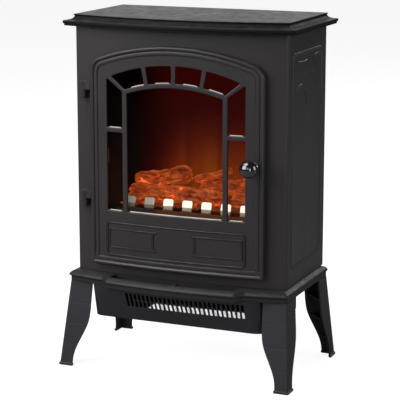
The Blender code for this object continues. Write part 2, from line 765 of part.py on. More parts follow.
def build_glass_clips(finish, door, glass_back):
    """A springy tab on each side that laps from the frame over the glass."""
    middle = (WINDOW_LOW + WINDOW_HIGH) / 2 - 0.030
    edge = WINDOW_HALF + GLASS_LAP
    for side, name in ((-1, "left"), (1, "right")):
        reach = sorted((side * (edge - 0.005), side * (edge + 0.007)))
        foot = sorted((side * (edge - 0.005), side * (edge - 0.0035)))
        span = (middle - 0.010, middle + 0.010)
        tab = box(reach, (DOOR_BACK + GAP, DOOR_BACK + 0.0011), span)
        toe = box(foot, (glass_back + GAP, DOOR_BACK + 0.0008), span)
        add(f"{name}_glass_clip", bowed(join(tab, toe)), finish, door)


def build_knob(finishes, door):
    bore = SCREW_RADIUS + RUNNING
    neck, depth = COLLAR_RADIUS - 0.0004, 0.014
    start = math.degrees(math.asin(neck / KNOB_RADIUS))
    ball = [(-x, z) for x, z in arc((0, KNOB_REACH), KNOB_RADIUS, 270 - start, 90, 12)]
    profile = [(0, depth), (bore, depth), (bore, GAP), (COLLAR_RADIUS, GAP), (COLLAR_RADIUS, 0.0024)]
    profile += [(neck, 0.0032), *ball[:-1], (0, KNOB_REACH + KNOB_RADIUS)]
    knob = turned(profile, (KNOB_X, KNOB_FACE, KNOB_Z), (0, -1, 0))
    add("door_knob", knob, finishes["gloss"], door, smooth=True)
    back = DOOR_BACK - bow_depth(KNOB_X + SCREW_HEAD) - SCREW_SINK
    screw = screw_shape((KNOB_X, back, KNOB_Z), (0, 1, 0), DOOR_THICKNESS + 0.0055)
    add("knob_screw", screw, finishes["steel"], door, smooth=True)


def build_hinges(finishes, stove, door):
    panel = FRONT - bow_depth(PIVOT_X + KNUCKLE_RADIUS) - GAP
    middle = DOOR_BACK - DOOR_THICKNESS / 2
    bore_radius = PIN_RADIUS + RUNNING
    for name, level in hinge_levels():
        axis = (PIVOT_X, PIVOT_Y)
        top = level + KNUCKLE_HEIGHT
        knuckle = cylinder((*axis, level), (*axis, top), KNUCKLE_RADIUS, sides=20)
        web = hinge_tongue(PIVOT_X, level, 0.0)
        cheek = box((PIVOT_X, -DOOR_HALF - 0.0008), (middle - 0.0040, middle + 0.0018), (level, top))
        bore = cylinder((*axis, level - 0.01), (*axis, top + 0.01), bore_radius, sides=20)
        arm = cut(join(knuckle, bowed(join(cheek, web))), bore)
        add(f"{name}_hinge_arm", arm, finishes["door"], door)
        seat_top = level - GAP
        seat_low = seat_top - KNUCKLE_HEIGHT
        seat = cylinder((*axis, seat_low), (*axis, seat_top), KNUCKLE_RADIUS, sides=20)
        span = (PIVOT_X - KNUCKLE_RADIUS, PIVOT_X + KNUCKLE_RADIUS)
        foot = box(span, (PIVOT_Y, panel), (seat_low, seat_top))
        bore = cylinder((*axis, seat_low + 0.002), (*axis, seat_top + 0.01), bore_radius, sides=20)
        add(f"{name}_hinge_seat", cut(join(seat, foot), bore), finishes["door"], stove)
        pin = cylinder((*axis, seat_low + 0.0025), (*axis, top - 0.0005), PIN_RADIUS, sides=20)
        add(f"{name}_hinge_pin", pin, finishes["steel"], stove, origin=(*axis, seat_low), smooth=True)


def build_catch(finish, stove):
    front = FRONT - bow_depth(CATCH_X)
    span = (CATCH_X - CATCH_WIDTH / 2, CATCH_X + CATCH_WIDTH / 2)
    catch = box(span, (front - 0.0004, front + 0.011), (CATCH_LOW, CATCH_LOW + CATCH_HEIGHT))
    add("magnet_catch", catch, finish, stove)


# ---------------------------------------------------------------- firebox


def bed_front():
    return FRONT + GRATE_SETBACK + 0.0105


def build_firebox(finishes, stove):
    half, inner = FIREBOX_HALF, FIREBOX_HALF - SHEET
    steps = [half * (i / 6 - 1) for i in range(13)]
    back = FRONT + SHEET + GAP

    def tray(low, high, reach):
        front_edge = [(x, back - bow_depth(x)) for x in steps]
        outline = [*front_edge, (half, reach), (-half, reach)]
        return plate(outline, low, high, plane="XY")

    add("firebox_floor", tray(FLOOR_TOP - SHEET, FLOOR_TOP, FIREBOX_BACK), finishes["liner"], stove)
    add("firebox_roof", tray(ROOF_UNDER, ROOF_UNDER + SHEET, FIREBOX_BACK), finishes["liner"], stove)
    low, high = FLOOR_TOP + GAP, ROOF_UNDER - GAP
    near = back - bow_depth(half) + 0.0006
    axis_y, axis_z = spindle_axis()
    for side, name in ((-1, "left"), (1, "right")):
        wall = box(sorted((side * half, side * inner)), (near, FIREBOX_BACK), (low, high))
        ends = [(side * x, axis_y, axis_z) for x in (half + 0.01, inner - 0.01)]
        hole = cylinder(*ends, 0.005)
        add(f"firebox_{name}_wall", cut(wall, hole), finishes["liner"], stove)
    screen = box((GAP - inner, inner - GAP), (SCREEN_FRONT, SCREEN_FRONT + SCREEN), (low, high))
    add("flame_screen", screen, finishes["screen"], stove)
    width, head = (GAP - inner, inner - GAP), low + REFLECTOR_HEIGHT
    reflector = box(width, (FIREBOX_BACK - 0.004, FIREBOX_BACK - 0.0025), (low, head))
    lip = box(width, (FIREBOX_BACK - 0.014, FIREBOX_BACK - 0.003), (head - SHEET, head))
    add("light_reflector", join(reflector, lip), finishes["steel"], stove)


def build_grate(finish, stove):
    front = FRONT + GRATE_SETBACK
    low = FLOOR_TOP + GAP
    half = FIREBOX_HALF - SHEET - 0.0010
    strip = box((-half, half), (front, front + SHEET), (low, low + 0.007))
    lean = 0.0040
    teeth = []
    for i in range(TOOTH_COUNT):
        x = (i - (TOOTH_COUNT - 1) / 2) * TOOTH_PITCH
        side = [(front, low + 0.003), (front + SHEET, low + 0.003), (front + SHEET, low + 0.010)]
        side.append((front + SHEET + lean, low + TOOTH_HEIGHT - 0.0004))
        side.append((front + lean - 0.0003, low + TOOTH_HEIGHT))
        side += [(front, low + 0.010)]
        teeth.append(plate(side, x - TOOTH_WIDTH / 2, x + TOOTH_WIDTH / 2, plane="YZ"))
    add("fire_grate", join(strip, *teeth), finish, stove)


def build_fuel(finishes, stove):
    """The moulded ember bed, and the logs that lie on it."""
    low = FLOOR_TOP + GAP
    near, far = bed_front(), SCREEN_FRONT - 0.002
    half = FIREBOX_HALF - SHEET - 0.0020
    columns, rows = 20, 7
    depth = far - near
    bm = bmesh.new()
    grid = []
    for j in range(rows + 1):
        y = near + depth * j / rows
        line = []
        for i in range(columns + 1):
            x = half * (2 * i / columns - 1)
            lump = 0.0016 * math.sin(190 * x + 2.1 * j) * math.cos(260 * y + 0.8 * i)
            line.append((x, y, low + 0.0105 + 0.0045 * j / rows + lump))
        grid.append(line)
    top = [[bm.verts.new(point) for point in line] for line in grid]
    foot = [[bm.verts.new((x, y, low)) for x, y, _ in line] for line in grid]
    for j in range(rows):
        for i in range(columns):
            bm.faces.new((top[j][i], top[j][i + 1], top[j + 1][i + 1], top[j + 1][i]))
            bm.faces.new((foot[j][i], foot[j + 1][i], foot[j + 1][i + 1], foot[j][i + 1]))
    ring = [(0, i) for i in range(columns)] + [(j, columns) for j in range(rows)]
    ring += [(rows, i) for i in range(columns, 0, -1)] + [(j, 0) for j in range(rows, 0, -1)]
    for (j, i), (l, k) in zip(ring, ring[1:] + ring[:1]):
        bm.faces.new((foot[j][i], foot[l][k], top[l][k], top[j][i]))
    add("ember_bed", merged(bm), finishes["embers"], stove, smooth=True)
    thick = depth * 0.20
    middle = near + depth * 0.5
    # Each log: name, its two ends as shares of the bed's half width, depth and height, and its two radii.
    logs = (
        ("left_back_log", (-0.93, 0.225, 0.0405), (-0.17, 0.265, 0.0535), 0.95, 1.05),
        ("front_log", (-0.90, -0.215, 0.0290), (0.42, -0.240, 0.0275), 1.0, 0.92),
        ("right_back_log", (0.02, 0.215, 0.0395), (0.95, 0.160, 0.0410), 1.0, 0.95),
        ("right_front_log", (0.56, -0.240, 0.0270), (0.96, -0.230, 0.0280), 0.75, 0.80),
        ("top_branch", (0.02, -0.250, 0.0545), (0.46, 0.130, 0.0680), 0.45, 0.40),
    )
    for name, start, end, start_size, end_size in logs:
        ends = [(half * x, middle + depth * y, low + z) for x, y, z in (start, end)]
        form = cylinder(*ends, thick * start_size, thick * end_size, sides=12)
        add(name, form, finishes["log"], stove, smooth=True)


def spindle_axis():
    """Y and Z of the flame spindle."""
    return SCREEN_FRONT + SCREEN + 0.023, FLOOR_TOP + 0.0265


def build_flame_drive(finishes, stove):
    y, z = spindle_axis()
    wall = FIREBOX_HALF
    rod = cylinder((-wall - 0.003, y, z), (wall + 0.006, y, z), SPINDLE_RADIUS, sides=12)
    petals = []
    pitch = 2 * (wall - 0.010) / PETAL_COUNT
    for i in range(PETAL_COUNT):
        x = (i - (PETAL_COUNT - 1) / 2) * pitch
        petal = box((-pitch * 0.42, pitch * 0.42), (-PETAL_LENGTH / 2, PETAL_LENGTH / 2), (-0.0004, 0.0004))
        turn = Matrix.Translation((x, y, z)) @ Matrix.Rotation(math.radians(50 * i), 4, "X")
        bmesh.ops.transform(petal, matrix=turn, verts=petal.verts)
        petals.append(petal)
    add("flame_spindle", join(rod, *petals), finishes["foil"], stove, origin=(0, y, z))
    bore = SPINDLE_RADIUS + RUNNING
    profile = [(bore, -0.0030), (0.0046, -0.0030), (0.0046, GAP), (0.0080, GAP), (0.0080, 0.0024)]
    profile += [(bore, 0.0024), (bore, -0.0030)]
    bush = turned(profile, (-wall, y, z), (-1, 0, 0), 20)
    add("spindle_bush", bush, finishes["nylon"], stove, smooth=True)
    body = cylinder((wall + GAP, y, z), (wall + 0.018, y, z), 0.0155, sides=24)
    socket = cylinder((wall - 0.01, y, z), (wall + 0.0075, y, z), SPINDLE_RADIUS + RUNNING, sides=20)
    add("spindle_motor", cut(body, socket), finishes["steel"], stove, smooth=True)
    board_y = (SCREEN_FRONT + SCREEN + 0.004, FIREBOX_BACK - 0.008)
    board_z = FLOOR_TOP + 0.0024
    lamps = [
        cylinder((x * 0.026, y, board_z + 0.001), (x * 0.026, y, board_z + 0.0046), 0.0026, 0.0018, sides=10)
        for x in range(-4, 5)
    ]
    board = box((-wall + 0.010, wall - 0.010), board_y, (board_z, board_z + 0.0016))
    stand = [box((x, x + 0.006), board_y, (FLOOR_TOP + GAP, board_z + 0.0005)) for x in (-0.060, 0.054)]
    add("lamp_board", join(board, *lamps, *stand), finishes["board"], stove)


# ---------------------------------------------------------------- controls


def build_controls(finishes, stove):
    front = FRONT + 0.004
    back = front + 0.002
    middle = CONTROL_MIDDLE
    tray_edge = control_window(0.004)
    wall = plate(tray_edge, FRONT + SHEET + GAP, back, (offset(tray_edge, -0.002),))
    wall = bowed(wall, front_only=front - 0.0005)
    face = plate(offset(tray_edge, -0.001), front, back)
    rockers = [ROCKER_FIRST + i * ROCKER_PITCH for i in range(ROCKER_COUNT)]
    half_width, half_height = ROCKER_WIDTH / 2 + 0.002, ROCKER_HEIGHT / 2 + 0.002
    openings = [
        box(
            (x - half_width, x + half_width), (front - 0.01, back + 0.01),
            (middle - half_height, middle + half_height),
        )
        for x in rockers
    ]
    dial_hole = cylinder((DIAL_X, front - 0.01, middle), (DIAL_X, back + 0.01, middle), 0.0050)
    add("control_panel", cut(join(face, wall), *openings, dial_hole), finishes["body"], stove)
    for number, x in enumerate(rockers, start=1):
        build_rocker(number, x, front, back, finishes, stove)
    build_thermostat(front, back, finishes, stove)


def build_thermostat(front, back, finishes, stove):
    def along(near, far, radius, sides=20):
        return cylinder((DIAL_X, near, CONTROL_MIDDLE), (DIAL_X, far, CONTROL_MIDDLE), radius, sides=sides)

    body = along(back + GAP, back + 0.016, 0.0150, sides=24)
    bush = along(front + 0.0002, back + 0.002, 0.0047)
    bore = along(front - 0.01, back + 0.0085, 0.0032)
    add("thermostat", cut(join(body, bush), bore), finishes["switch"], stove)
    skirt = [(0, 0.0), (DIAL_RADIUS, 0.0), (DIAL_RADIUS, 0.003), (DIAL_RADIUS - 0.0025, 0.0045)]
    skirt.append((DIAL_RADIUS - 0.0035, DIAL_LENGTH - 0.001))
    skirt += [(DIAL_RADIUS - 0.0045, DIAL_LENGTH), (0, DIAL_LENGTH)]
    knob = turned(skirt, (DIAL_X, front - 0.0006, CONTROL_MIDDLE), (0, -1, 0), 24)
    stem = along(front - 0.004, back + 0.0080, 0.0030)
    pointer = box(
        (DIAL_X - 0.0012, DIAL_X + 0.0012),
        (front - DIAL_LENGTH - 0.0014, front - 0.004),
        (CONTROL_MIDDLE, CONTROL_MIDDLE + DIAL_RADIUS - 0.003),
    )
    dial = join(knob, stem, pointer)
    add("thermostat_dial", dial, finishes["gloss"], stove, origin=(DIAL_X, front, CONTROL_MIDDLE))


def build_rocker(number, x, front, back, finishes, stove):
    pivot = (x, front + 0.0030, CONTROL_MIDDLE)
    half_w, half_h = ROCKER_WIDTH / 2, ROCKER_HEIGHT / 2

    def around(spare, near, far):
        z = CONTROL_MIDDLE
        width, height = half_w + spare, half_h + spare
        return box((x - width, x + width), (near, far), (z - height, z + height))

    def across(reach, radius, middle=(0, 0, 0)):
        ends = [(middle[0] + side * (half_w + reach), middle[1], middle[2]) for side in (-1, 1)]
        return cylinder(*ends, radius, sides=16)

    case = join(around(0.0015, front - 0.0012, back + 0.014), around(0.0035, front - 0.0018, front - GAP))
    hollow = around(0.0004, front - 0.01, pivot[1] + 0.0100)
    add(f"switch_body_{number}", cut(case, hollow, across(0.0011, 0.0014, pivot)), finishes["switch"], stove)
    reach = half_h - 0.0006
    outline = [(-u * 0.80 if u < 0 else -u, v) for u, v in arc((0, 0), reach * 0.93, 100, 260, 8)][::-1]
    outline += [(-0.0036, reach * 0.97), (-0.0024, 0.0), (-0.0036, -reach * 0.97)]
    cap = plate(outline, 0.0001 - half_w, half_w - 0.0001, plane="YZ")
    shape = join(cap, across(0.0008, 0.0012))
    turn = Matrix.Translation(pivot) @ Matrix.Rotation(math.radians(ROCKER_TILT), 4, "X")
    bmesh.ops.transform(shape, matrix=turn, verts=shape.verts)
    add(f"rocker_{number}", shape, finishes["gloss"], stove, origin=pivot)


# ---------------------------------------------------------------- heater


def outlet_front(x, height):
    """Y of the outlet's sloping front face: bowed along its top edge, straight along its foot."""
    lean = OUTLET_LEAN_END + (OUTLET_LEAN - OUTLET_LEAN_END) * (1 - (2 * x / OUTLET_WIDTH) ** 2)
    foot = BASE_FRONT + 0.0375
    return foot - lean * (height - SLOPE_LOW) / OUTLET_DROP


def build_outlet(finishes, stove):
    half = OUTLET_WIDTH / 2
    low, high, thick = SLOPE_LOW, LEG_HEIGHT - GAP, 0.0022
    rings = []
    for x in [half * (i / 8 - 1) for i in range(17)]:
        foot, head = outlet_front(x, low), outlet_front(x, high)
        rings.append([(x, foot, low), (x, head, high), (x, head + thick, high), (x, foot + thick, low)])
    fascia = loft(rings)
    bmesh.ops.triangulate(fascia, faces=fascia.faces)
    centre = (low + high) / 2 + 0.0090
    slot_z = (centre - SLOT_HEIGHT / 2, centre + SLOT_HEIGHT / 2)
    middles = [SLOT_SHIFT + (i - (SLOT_COUNT - 1) / 2) * SLOT_PITCH for i in range(SLOT_COUNT)]
    slot_y, slot_half = (BASE_FRONT - 0.02, FRONT + 0.02), SLOT_WIDTH / 2
    slots = [box((x - slot_half, x + slot_half), slot_y, slot_z) for x in middles]
    add("outlet_grille", cut(fascia, *slots), finishes["legs"], stove)
    near = outlet_front(0, low) + thick + GAP
    near_high, far = outlet_front(half, high) + thick + GAP, outlet_front(0, low) + OUTLET_DEPTH
    shell = plate([(near, low), (far, low), (far, high), (near_high, high)], -half, half, plane="YZ")
    hollow = box((SHEET - half, half - SHEET), (near - 0.05, far - SHEET), (low + SHEET, high + 0.05))
    guard_x, guard_y = (SLOT_SHIFT - 0.104, half - 0.006), (near + 0.001, near + 0.101)
    lap = 0.005
    spans = [(span[0] + lap, span[1] - lap) for span in (guard_x, guard_y)]
    floor_cut = box(*spans, (low - 0.01, low + 0.01))
    add("outlet_duct", cut(shell, hollow, floor_cut), finishes["liner"], stove)
    columns, rows = 12, 5
    step_x = (guard_x[1] - guard_x[0] - 2 * lap) / columns
    step_y = (guard_y[1] - guard_y[0] - 2 * lap) / rows
    holes = []
    for i in range(columns):
        for j in range(rows):
            x, y = guard_x[0] + lap + step_x * (i + 0.5), guard_y[0] + lap + step_y * (j + 0.5)
            wide, deep = step_x * 0.42, step_y * 0.44
            holes.append(rectangle(x - wide, x + wide, y - deep, y + deep))
    guard_z = low + SHEET + GAP
    guard = plate(rectangle(*guard_x, *guard_y), guard_z, guard_z + 0.0010, holes, plane="XY")
    add("bottom_guard", guard, finishes["mesh"], stove)


def build_blower(finishes, stove):
    y, z, low = WHEEL_Y, WHEEL_Z, BASE_TOP + GAP
    left, right = WHEEL_LEFT - SCROLL_END, WHEEL_RIGHT + SCROLL_END
    top, sheet = z + WHEEL_RADIUS + 0.005, SHEET

    def along(near, far, radius, sides=20):
        return cylinder((near, y, z), (far, y, z), radius, sides=sides)

    spans = ((left, left + sheet), (right - sheet, right))
    ends = [box(span, (SCROLL_FRONT, SCROLL_BACK), (low, top)) for span in spans]
    front_wall = box((left, right), (SCROLL_FRONT, SCROLL_FRONT + sheet), (low, top))
    roof = box((left, right), (SCROLL_FRONT, SCROLL_BACK - 0.016), (top - sheet, top))
    left_bore = along(left - 0.02, left + 0.01, SHAFT_RADIUS + 0.0010)
    right_bore = along(right - 0.01, right + 0.02, SHAFT_RADIUS + RUNNING)
    scroll = cut(join(*ends, front_wall, roof), left_bore, right_bore)
    add("blower_scroll", scroll, finishes["steel"], stove)
    near, far = WHEEL_LEFT + 0.001, WHEEL_RIGHT - 0.001
    discs = [along(x, x + sheet, WHEEL_RADIUS, WHEEL_BLADES) for x in (near, far - sheet)]
    shaft = along(WHEEL_LEFT - 0.026, right + 0.0015, SHAFT_RADIUS)
    blades = []
    for i in range(WHEEL_BLADES):
        blade = box(
            (near + sheet / 2, far - sheet / 2), (WHEEL_RADIUS - 0.0060, WHEEL_RADIUS - 0.0008),
            (-0.0004, 0.0004),
        )
        turn = Matrix.Translation((0, y, z)) @ Matrix.Rotation(math.tau * i / WHEEL_BLADES, 4, "X")
        bmesh.ops.transform(blade, matrix=turn, verts=blade.verts)
        blades.append(blade)
    add("blower_wheel", join(*discs, shaft, *blades), finishes["foil"], stove, origin=(0, y, z))
    build_motor(finishes["steel"], stove, low)
    build_element(finishes["element"], stove)
    level = z - 0.012
    faces = [(THERMAL_X, SCROLL_FRONT - step, level) for step in (GAP, 0.007)]
    disc = cylinder(*faces, 0.008, sides=20)
    tabs = [
        box(
            (x - 0.0008, x + 0.0008), (SCROLL_FRONT - 0.0125, SCROLL_FRONT - 0.006),
            (level - 0.003, level + 0.003),
        )
        for x in (THERMAL_X - 0.004, THERMAL_X + 0.004)
    ]
    add("thermal_cutout", join(disc, *tabs), finishes["nylon"], stove)


def build_motor(finish, stove, low):
    y, z, half = WHEEL_Y, WHEEL_Z, MOTOR_SIDE / 2
    right = WHEEL_LEFT - 0.010
    left = right - MOTOR_LENGTH
    stack = box((left + 0.008, right - 0.008), (y - half, y + half), (z - half, z + half))
    cap = cylinder((left, y, z), (right, y, z), 0.012, sides=20)
    foot = box((left + 0.010, right - 0.010), (y - 0.012, y + 0.012), (low, z - 0.010))
    bore = cylinder((right - 0.017, y, z), (right + 0.01, y, z), SHAFT_RADIUS + RUNNING, sides=20)
    add("fan_motor", cut(join(stack, cap, foot), bore), finish, stove)


def build_element(finish, stove):
    """A mica frame with its rows of heating ribbon, across the blower's mouth."""
    low = BASE_TOP + 0.0030
    left, right = WHEEL_LEFT + 0.001, WHEEL_RIGHT - 0.001
    frame_edge = rectangle(left, right, -0.0010, 0.0460)
    frame = plate(frame_edge, low, low + 0.0060, (offset(frame_edge, -0.004),), plane="XY")
    rows = [0.0065 + 0.0070 * i for i in range(RIBBON_COUNT)]
    width, height = (left + 0.002, right - 0.002), (low + 0.0015, low + 0.0045)
    ribbons = [box(width, (y, y + 0.0015), height) for y in rows]
    posts = [left + WHEEL_LENGTH * i / 4 for i in (1, 2, 3)]
    struts = [box((x, x + 0.0015), (0.001, 0.0440), (low + 0.0022, low + 0.0040)) for x in posts]
    corners = (left + 0.001, right - 0.007)
    feet = [box((x, x + 0.006), (0.0415, 0.0455), (BASE_TOP + GAP, low + 0.001)) for x in corners]
    add("heating_element", join(frame, *ribbons, *struts, *feet), finish, stove)


def build_wiring(finishes, stove):
    low, x, near, pitch = BASE_TOP + GAP, -HALF + 0.030, -0.010, 0.0130
    block = box((x - 0.008, x + 0.008), (near, near + 0.054), (low, low + 0.012))
    starts = [near + 0.001 + pitch * i for i in range(4)]
    ridges = [box((x - 0.006, x + 0.006), (y, y + 0.008), (low + 0.011, low + 0.018)) for y in starts]
    add("terminal_block", join(block, *ridges), finishes["nylon"], stove)


def main():
    for existing in list(bpy.data.objects):
        bpy.data.objects.remove(existing)
    finishes = {
        "body": material("satin_charcoal", (0.030, 0.028, 0.028), 0.42, 0.15),
        "top": material("semi_gloss_top", (0.030, 0.028, 0.030), 0.30, 0.15),
        "legs": material("leg_charcoal", (0.034, 0.035, 0.042), 0.45, 0.10),
        "door": material("door_charcoal", (0.032, 0.030, 0.030), 0.45, 0.15),
        "gloss": material("gloss_black", (0.008, 0.008, 0.009), 0.08),
        "glass": material("clear_glass", (0.75, 0.78, 0.78), 0.03, 0.0, 0.20),
        "steel": material("zinc_steel", (0.55, 0.56, 0.58), 0.35, 0.9),
        "foil": material("bright_foil", (0.80, 0.80, 0.82), 0.18, 1.0),
        "liner": material("liner_black", (0.012, 0.010, 0.010), 0.60, 0.1),
        "screen": material("flame_screen", (0.35, 0.10, 0.02), 0.25, 0.0, 0.9),
        "embers": material("ember_resin", (0.85, 0.20, 0.04), 0.55),
        "log": material("log_resin", (0.45, 0.16, 0.06), 0.60),
        "grate": material("cream_grate", (0.80, 0.74, 0.58), 0.45),
        "nylon": material("natural_nylon", (0.70, 0.68, 0.60), 0.50),
        "board": material("lamp_board_green", (0.05, 0.20, 0.09), 0.50),
        "switch": material("switch_black", (0.015, 0.015, 0.016), 0.45),
        "mesh": material("guard_mesh", (0.62, 0.63, 0.66), 0.35, 0.9),
        "element": material("mica_element", (0.50, 0.42, 0.30), 0.60),
    }
    stove = empty("stove", (0, -MIDDLE_Y, 0))
    door_place = (PIVOT_X, PIVOT_Y, 0)
    door = empty("door_hinge", door_place, stove)
    door["place"] = door_place
    build_base(finishes["body"], stove)
    build_top(finishes["top"], stove)
    build_front(finishes["body"], stove)
    build_sides(finishes["body"], stove)
    build_back(finishes["body"], finishes["switch"], stove)
    build_legs(finishes["legs"], stove)
    build_door(finishes, door)
    build_hinges(finishes, stove, door)
    build_catch(finishes["switch"], stove)
    build_firebox(finishes, stove)
    build_grate(finishes["grate"], stove)
    build_fuel(finishes, stove)
    build_flame_drive(finishes, stove)
    build_controls(finishes, stove)
    build_outlet(finishes, stove)
    build_blower(finishes, stove)
    build_wiring(finishes, stove)


main()
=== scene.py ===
"""Free-standing electric stove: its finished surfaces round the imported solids, and its studio.

Metres, +Z up, the glazed front towards -Y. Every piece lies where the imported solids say.
"""

import json
import logging
import math
from collections.abc import Callable, Iterable, Sequence
from dataclasses import dataclass
from enum import Enum
from typing import Any

import bmesh
import bpy
from mathutils import Matrix, Vector, noise

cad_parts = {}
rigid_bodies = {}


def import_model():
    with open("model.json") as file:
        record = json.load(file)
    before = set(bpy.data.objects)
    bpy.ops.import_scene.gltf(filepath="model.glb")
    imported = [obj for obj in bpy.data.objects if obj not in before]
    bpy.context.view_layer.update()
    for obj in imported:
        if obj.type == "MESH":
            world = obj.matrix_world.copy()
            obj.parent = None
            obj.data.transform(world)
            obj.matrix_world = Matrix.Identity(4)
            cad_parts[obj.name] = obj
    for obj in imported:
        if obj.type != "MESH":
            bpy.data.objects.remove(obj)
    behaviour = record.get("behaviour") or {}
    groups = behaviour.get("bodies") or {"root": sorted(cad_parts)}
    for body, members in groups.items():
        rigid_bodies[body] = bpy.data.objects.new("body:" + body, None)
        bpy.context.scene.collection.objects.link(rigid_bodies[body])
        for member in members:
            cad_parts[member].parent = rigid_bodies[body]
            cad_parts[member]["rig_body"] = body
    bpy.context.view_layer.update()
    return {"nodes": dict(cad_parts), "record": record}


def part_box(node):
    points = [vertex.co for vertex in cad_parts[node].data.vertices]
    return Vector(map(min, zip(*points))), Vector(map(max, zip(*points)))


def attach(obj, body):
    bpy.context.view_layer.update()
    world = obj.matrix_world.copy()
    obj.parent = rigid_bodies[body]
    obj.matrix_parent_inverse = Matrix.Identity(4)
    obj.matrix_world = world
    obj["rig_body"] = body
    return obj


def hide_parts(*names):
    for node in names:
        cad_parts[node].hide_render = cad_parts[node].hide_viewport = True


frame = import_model()

Point = tuple[float, float]
Outline = list[Point]
Rgb = tuple[float, float, float]
Step = tuple[float, float]
Ring = list[bmesh.types.BMVert]

SHEET = 0.0015
SAME_POINT = 2e-6
SAME_PLANE = math.radians(0.4)
SMOOTH_BELOW = math.radians(34)
LEAST_CORNER = 0.0006
FRONT_BOW = 0.014
STOVE_MIDDLE = Vector((0, 0, 0.35))
log = logging.getLogger("stove")


# ---------------------------------------------------------------- shading


class Value:
    """A socket in a shader graph, so that shading maths reads as an expression."""

    def __init__(self, graph: "Graph", link: bpy.types.NodeSocket) -> None:
        """Args: graph: the graph it belongs to. link: the output socket it stands for."""
        self.graph = graph
        self.link = link

    def __add__(self, other: "Value | float") -> "Value":
        """Returns the sum."""
        return self.graph.math("ADD", self, other)

    def __sub__(self, other: "Value | float") -> "Value":
        """Returns the difference."""
        return self.graph.math("SUBTRACT", self, other)

    def __rsub__(self, other: "Value | float") -> "Value":
        """Returns other less this value."""
        return self.graph.math("SUBTRACT", other, self)

    def __mul__(self, other: "Value | float") -> "Value":
        """Returns the product."""
        return self.graph.math("MULTIPLY", self, other)

    def __truediv__(self, other: "Value | float") -> "Value":
        """Returns the quotient."""
        return self.graph.math("DIVIDE", self, other)

    def __pow__(self, other: "Value | float") -> "Value":
        """Returns this value raised to a power."""
        return self.graph.math("POWER", self, other)

    __radd__ = __add__
    __rmul__ = __mul__

    def smooth(self, low: float, high: float) -> "Value":
        """Eases this value from 0 to 1.

        Args:
            low: where the rise starts.
            high: where it ends.

        Returns:
            The eased value.
        """
        ends = {"Value": self, "From Min": low, "From Max": high}
        easing = {"interpolation_type": "SMOOTHSTEP"}
        return self.graph.get("ShaderNodeMapRange", "Result", easing, ends)


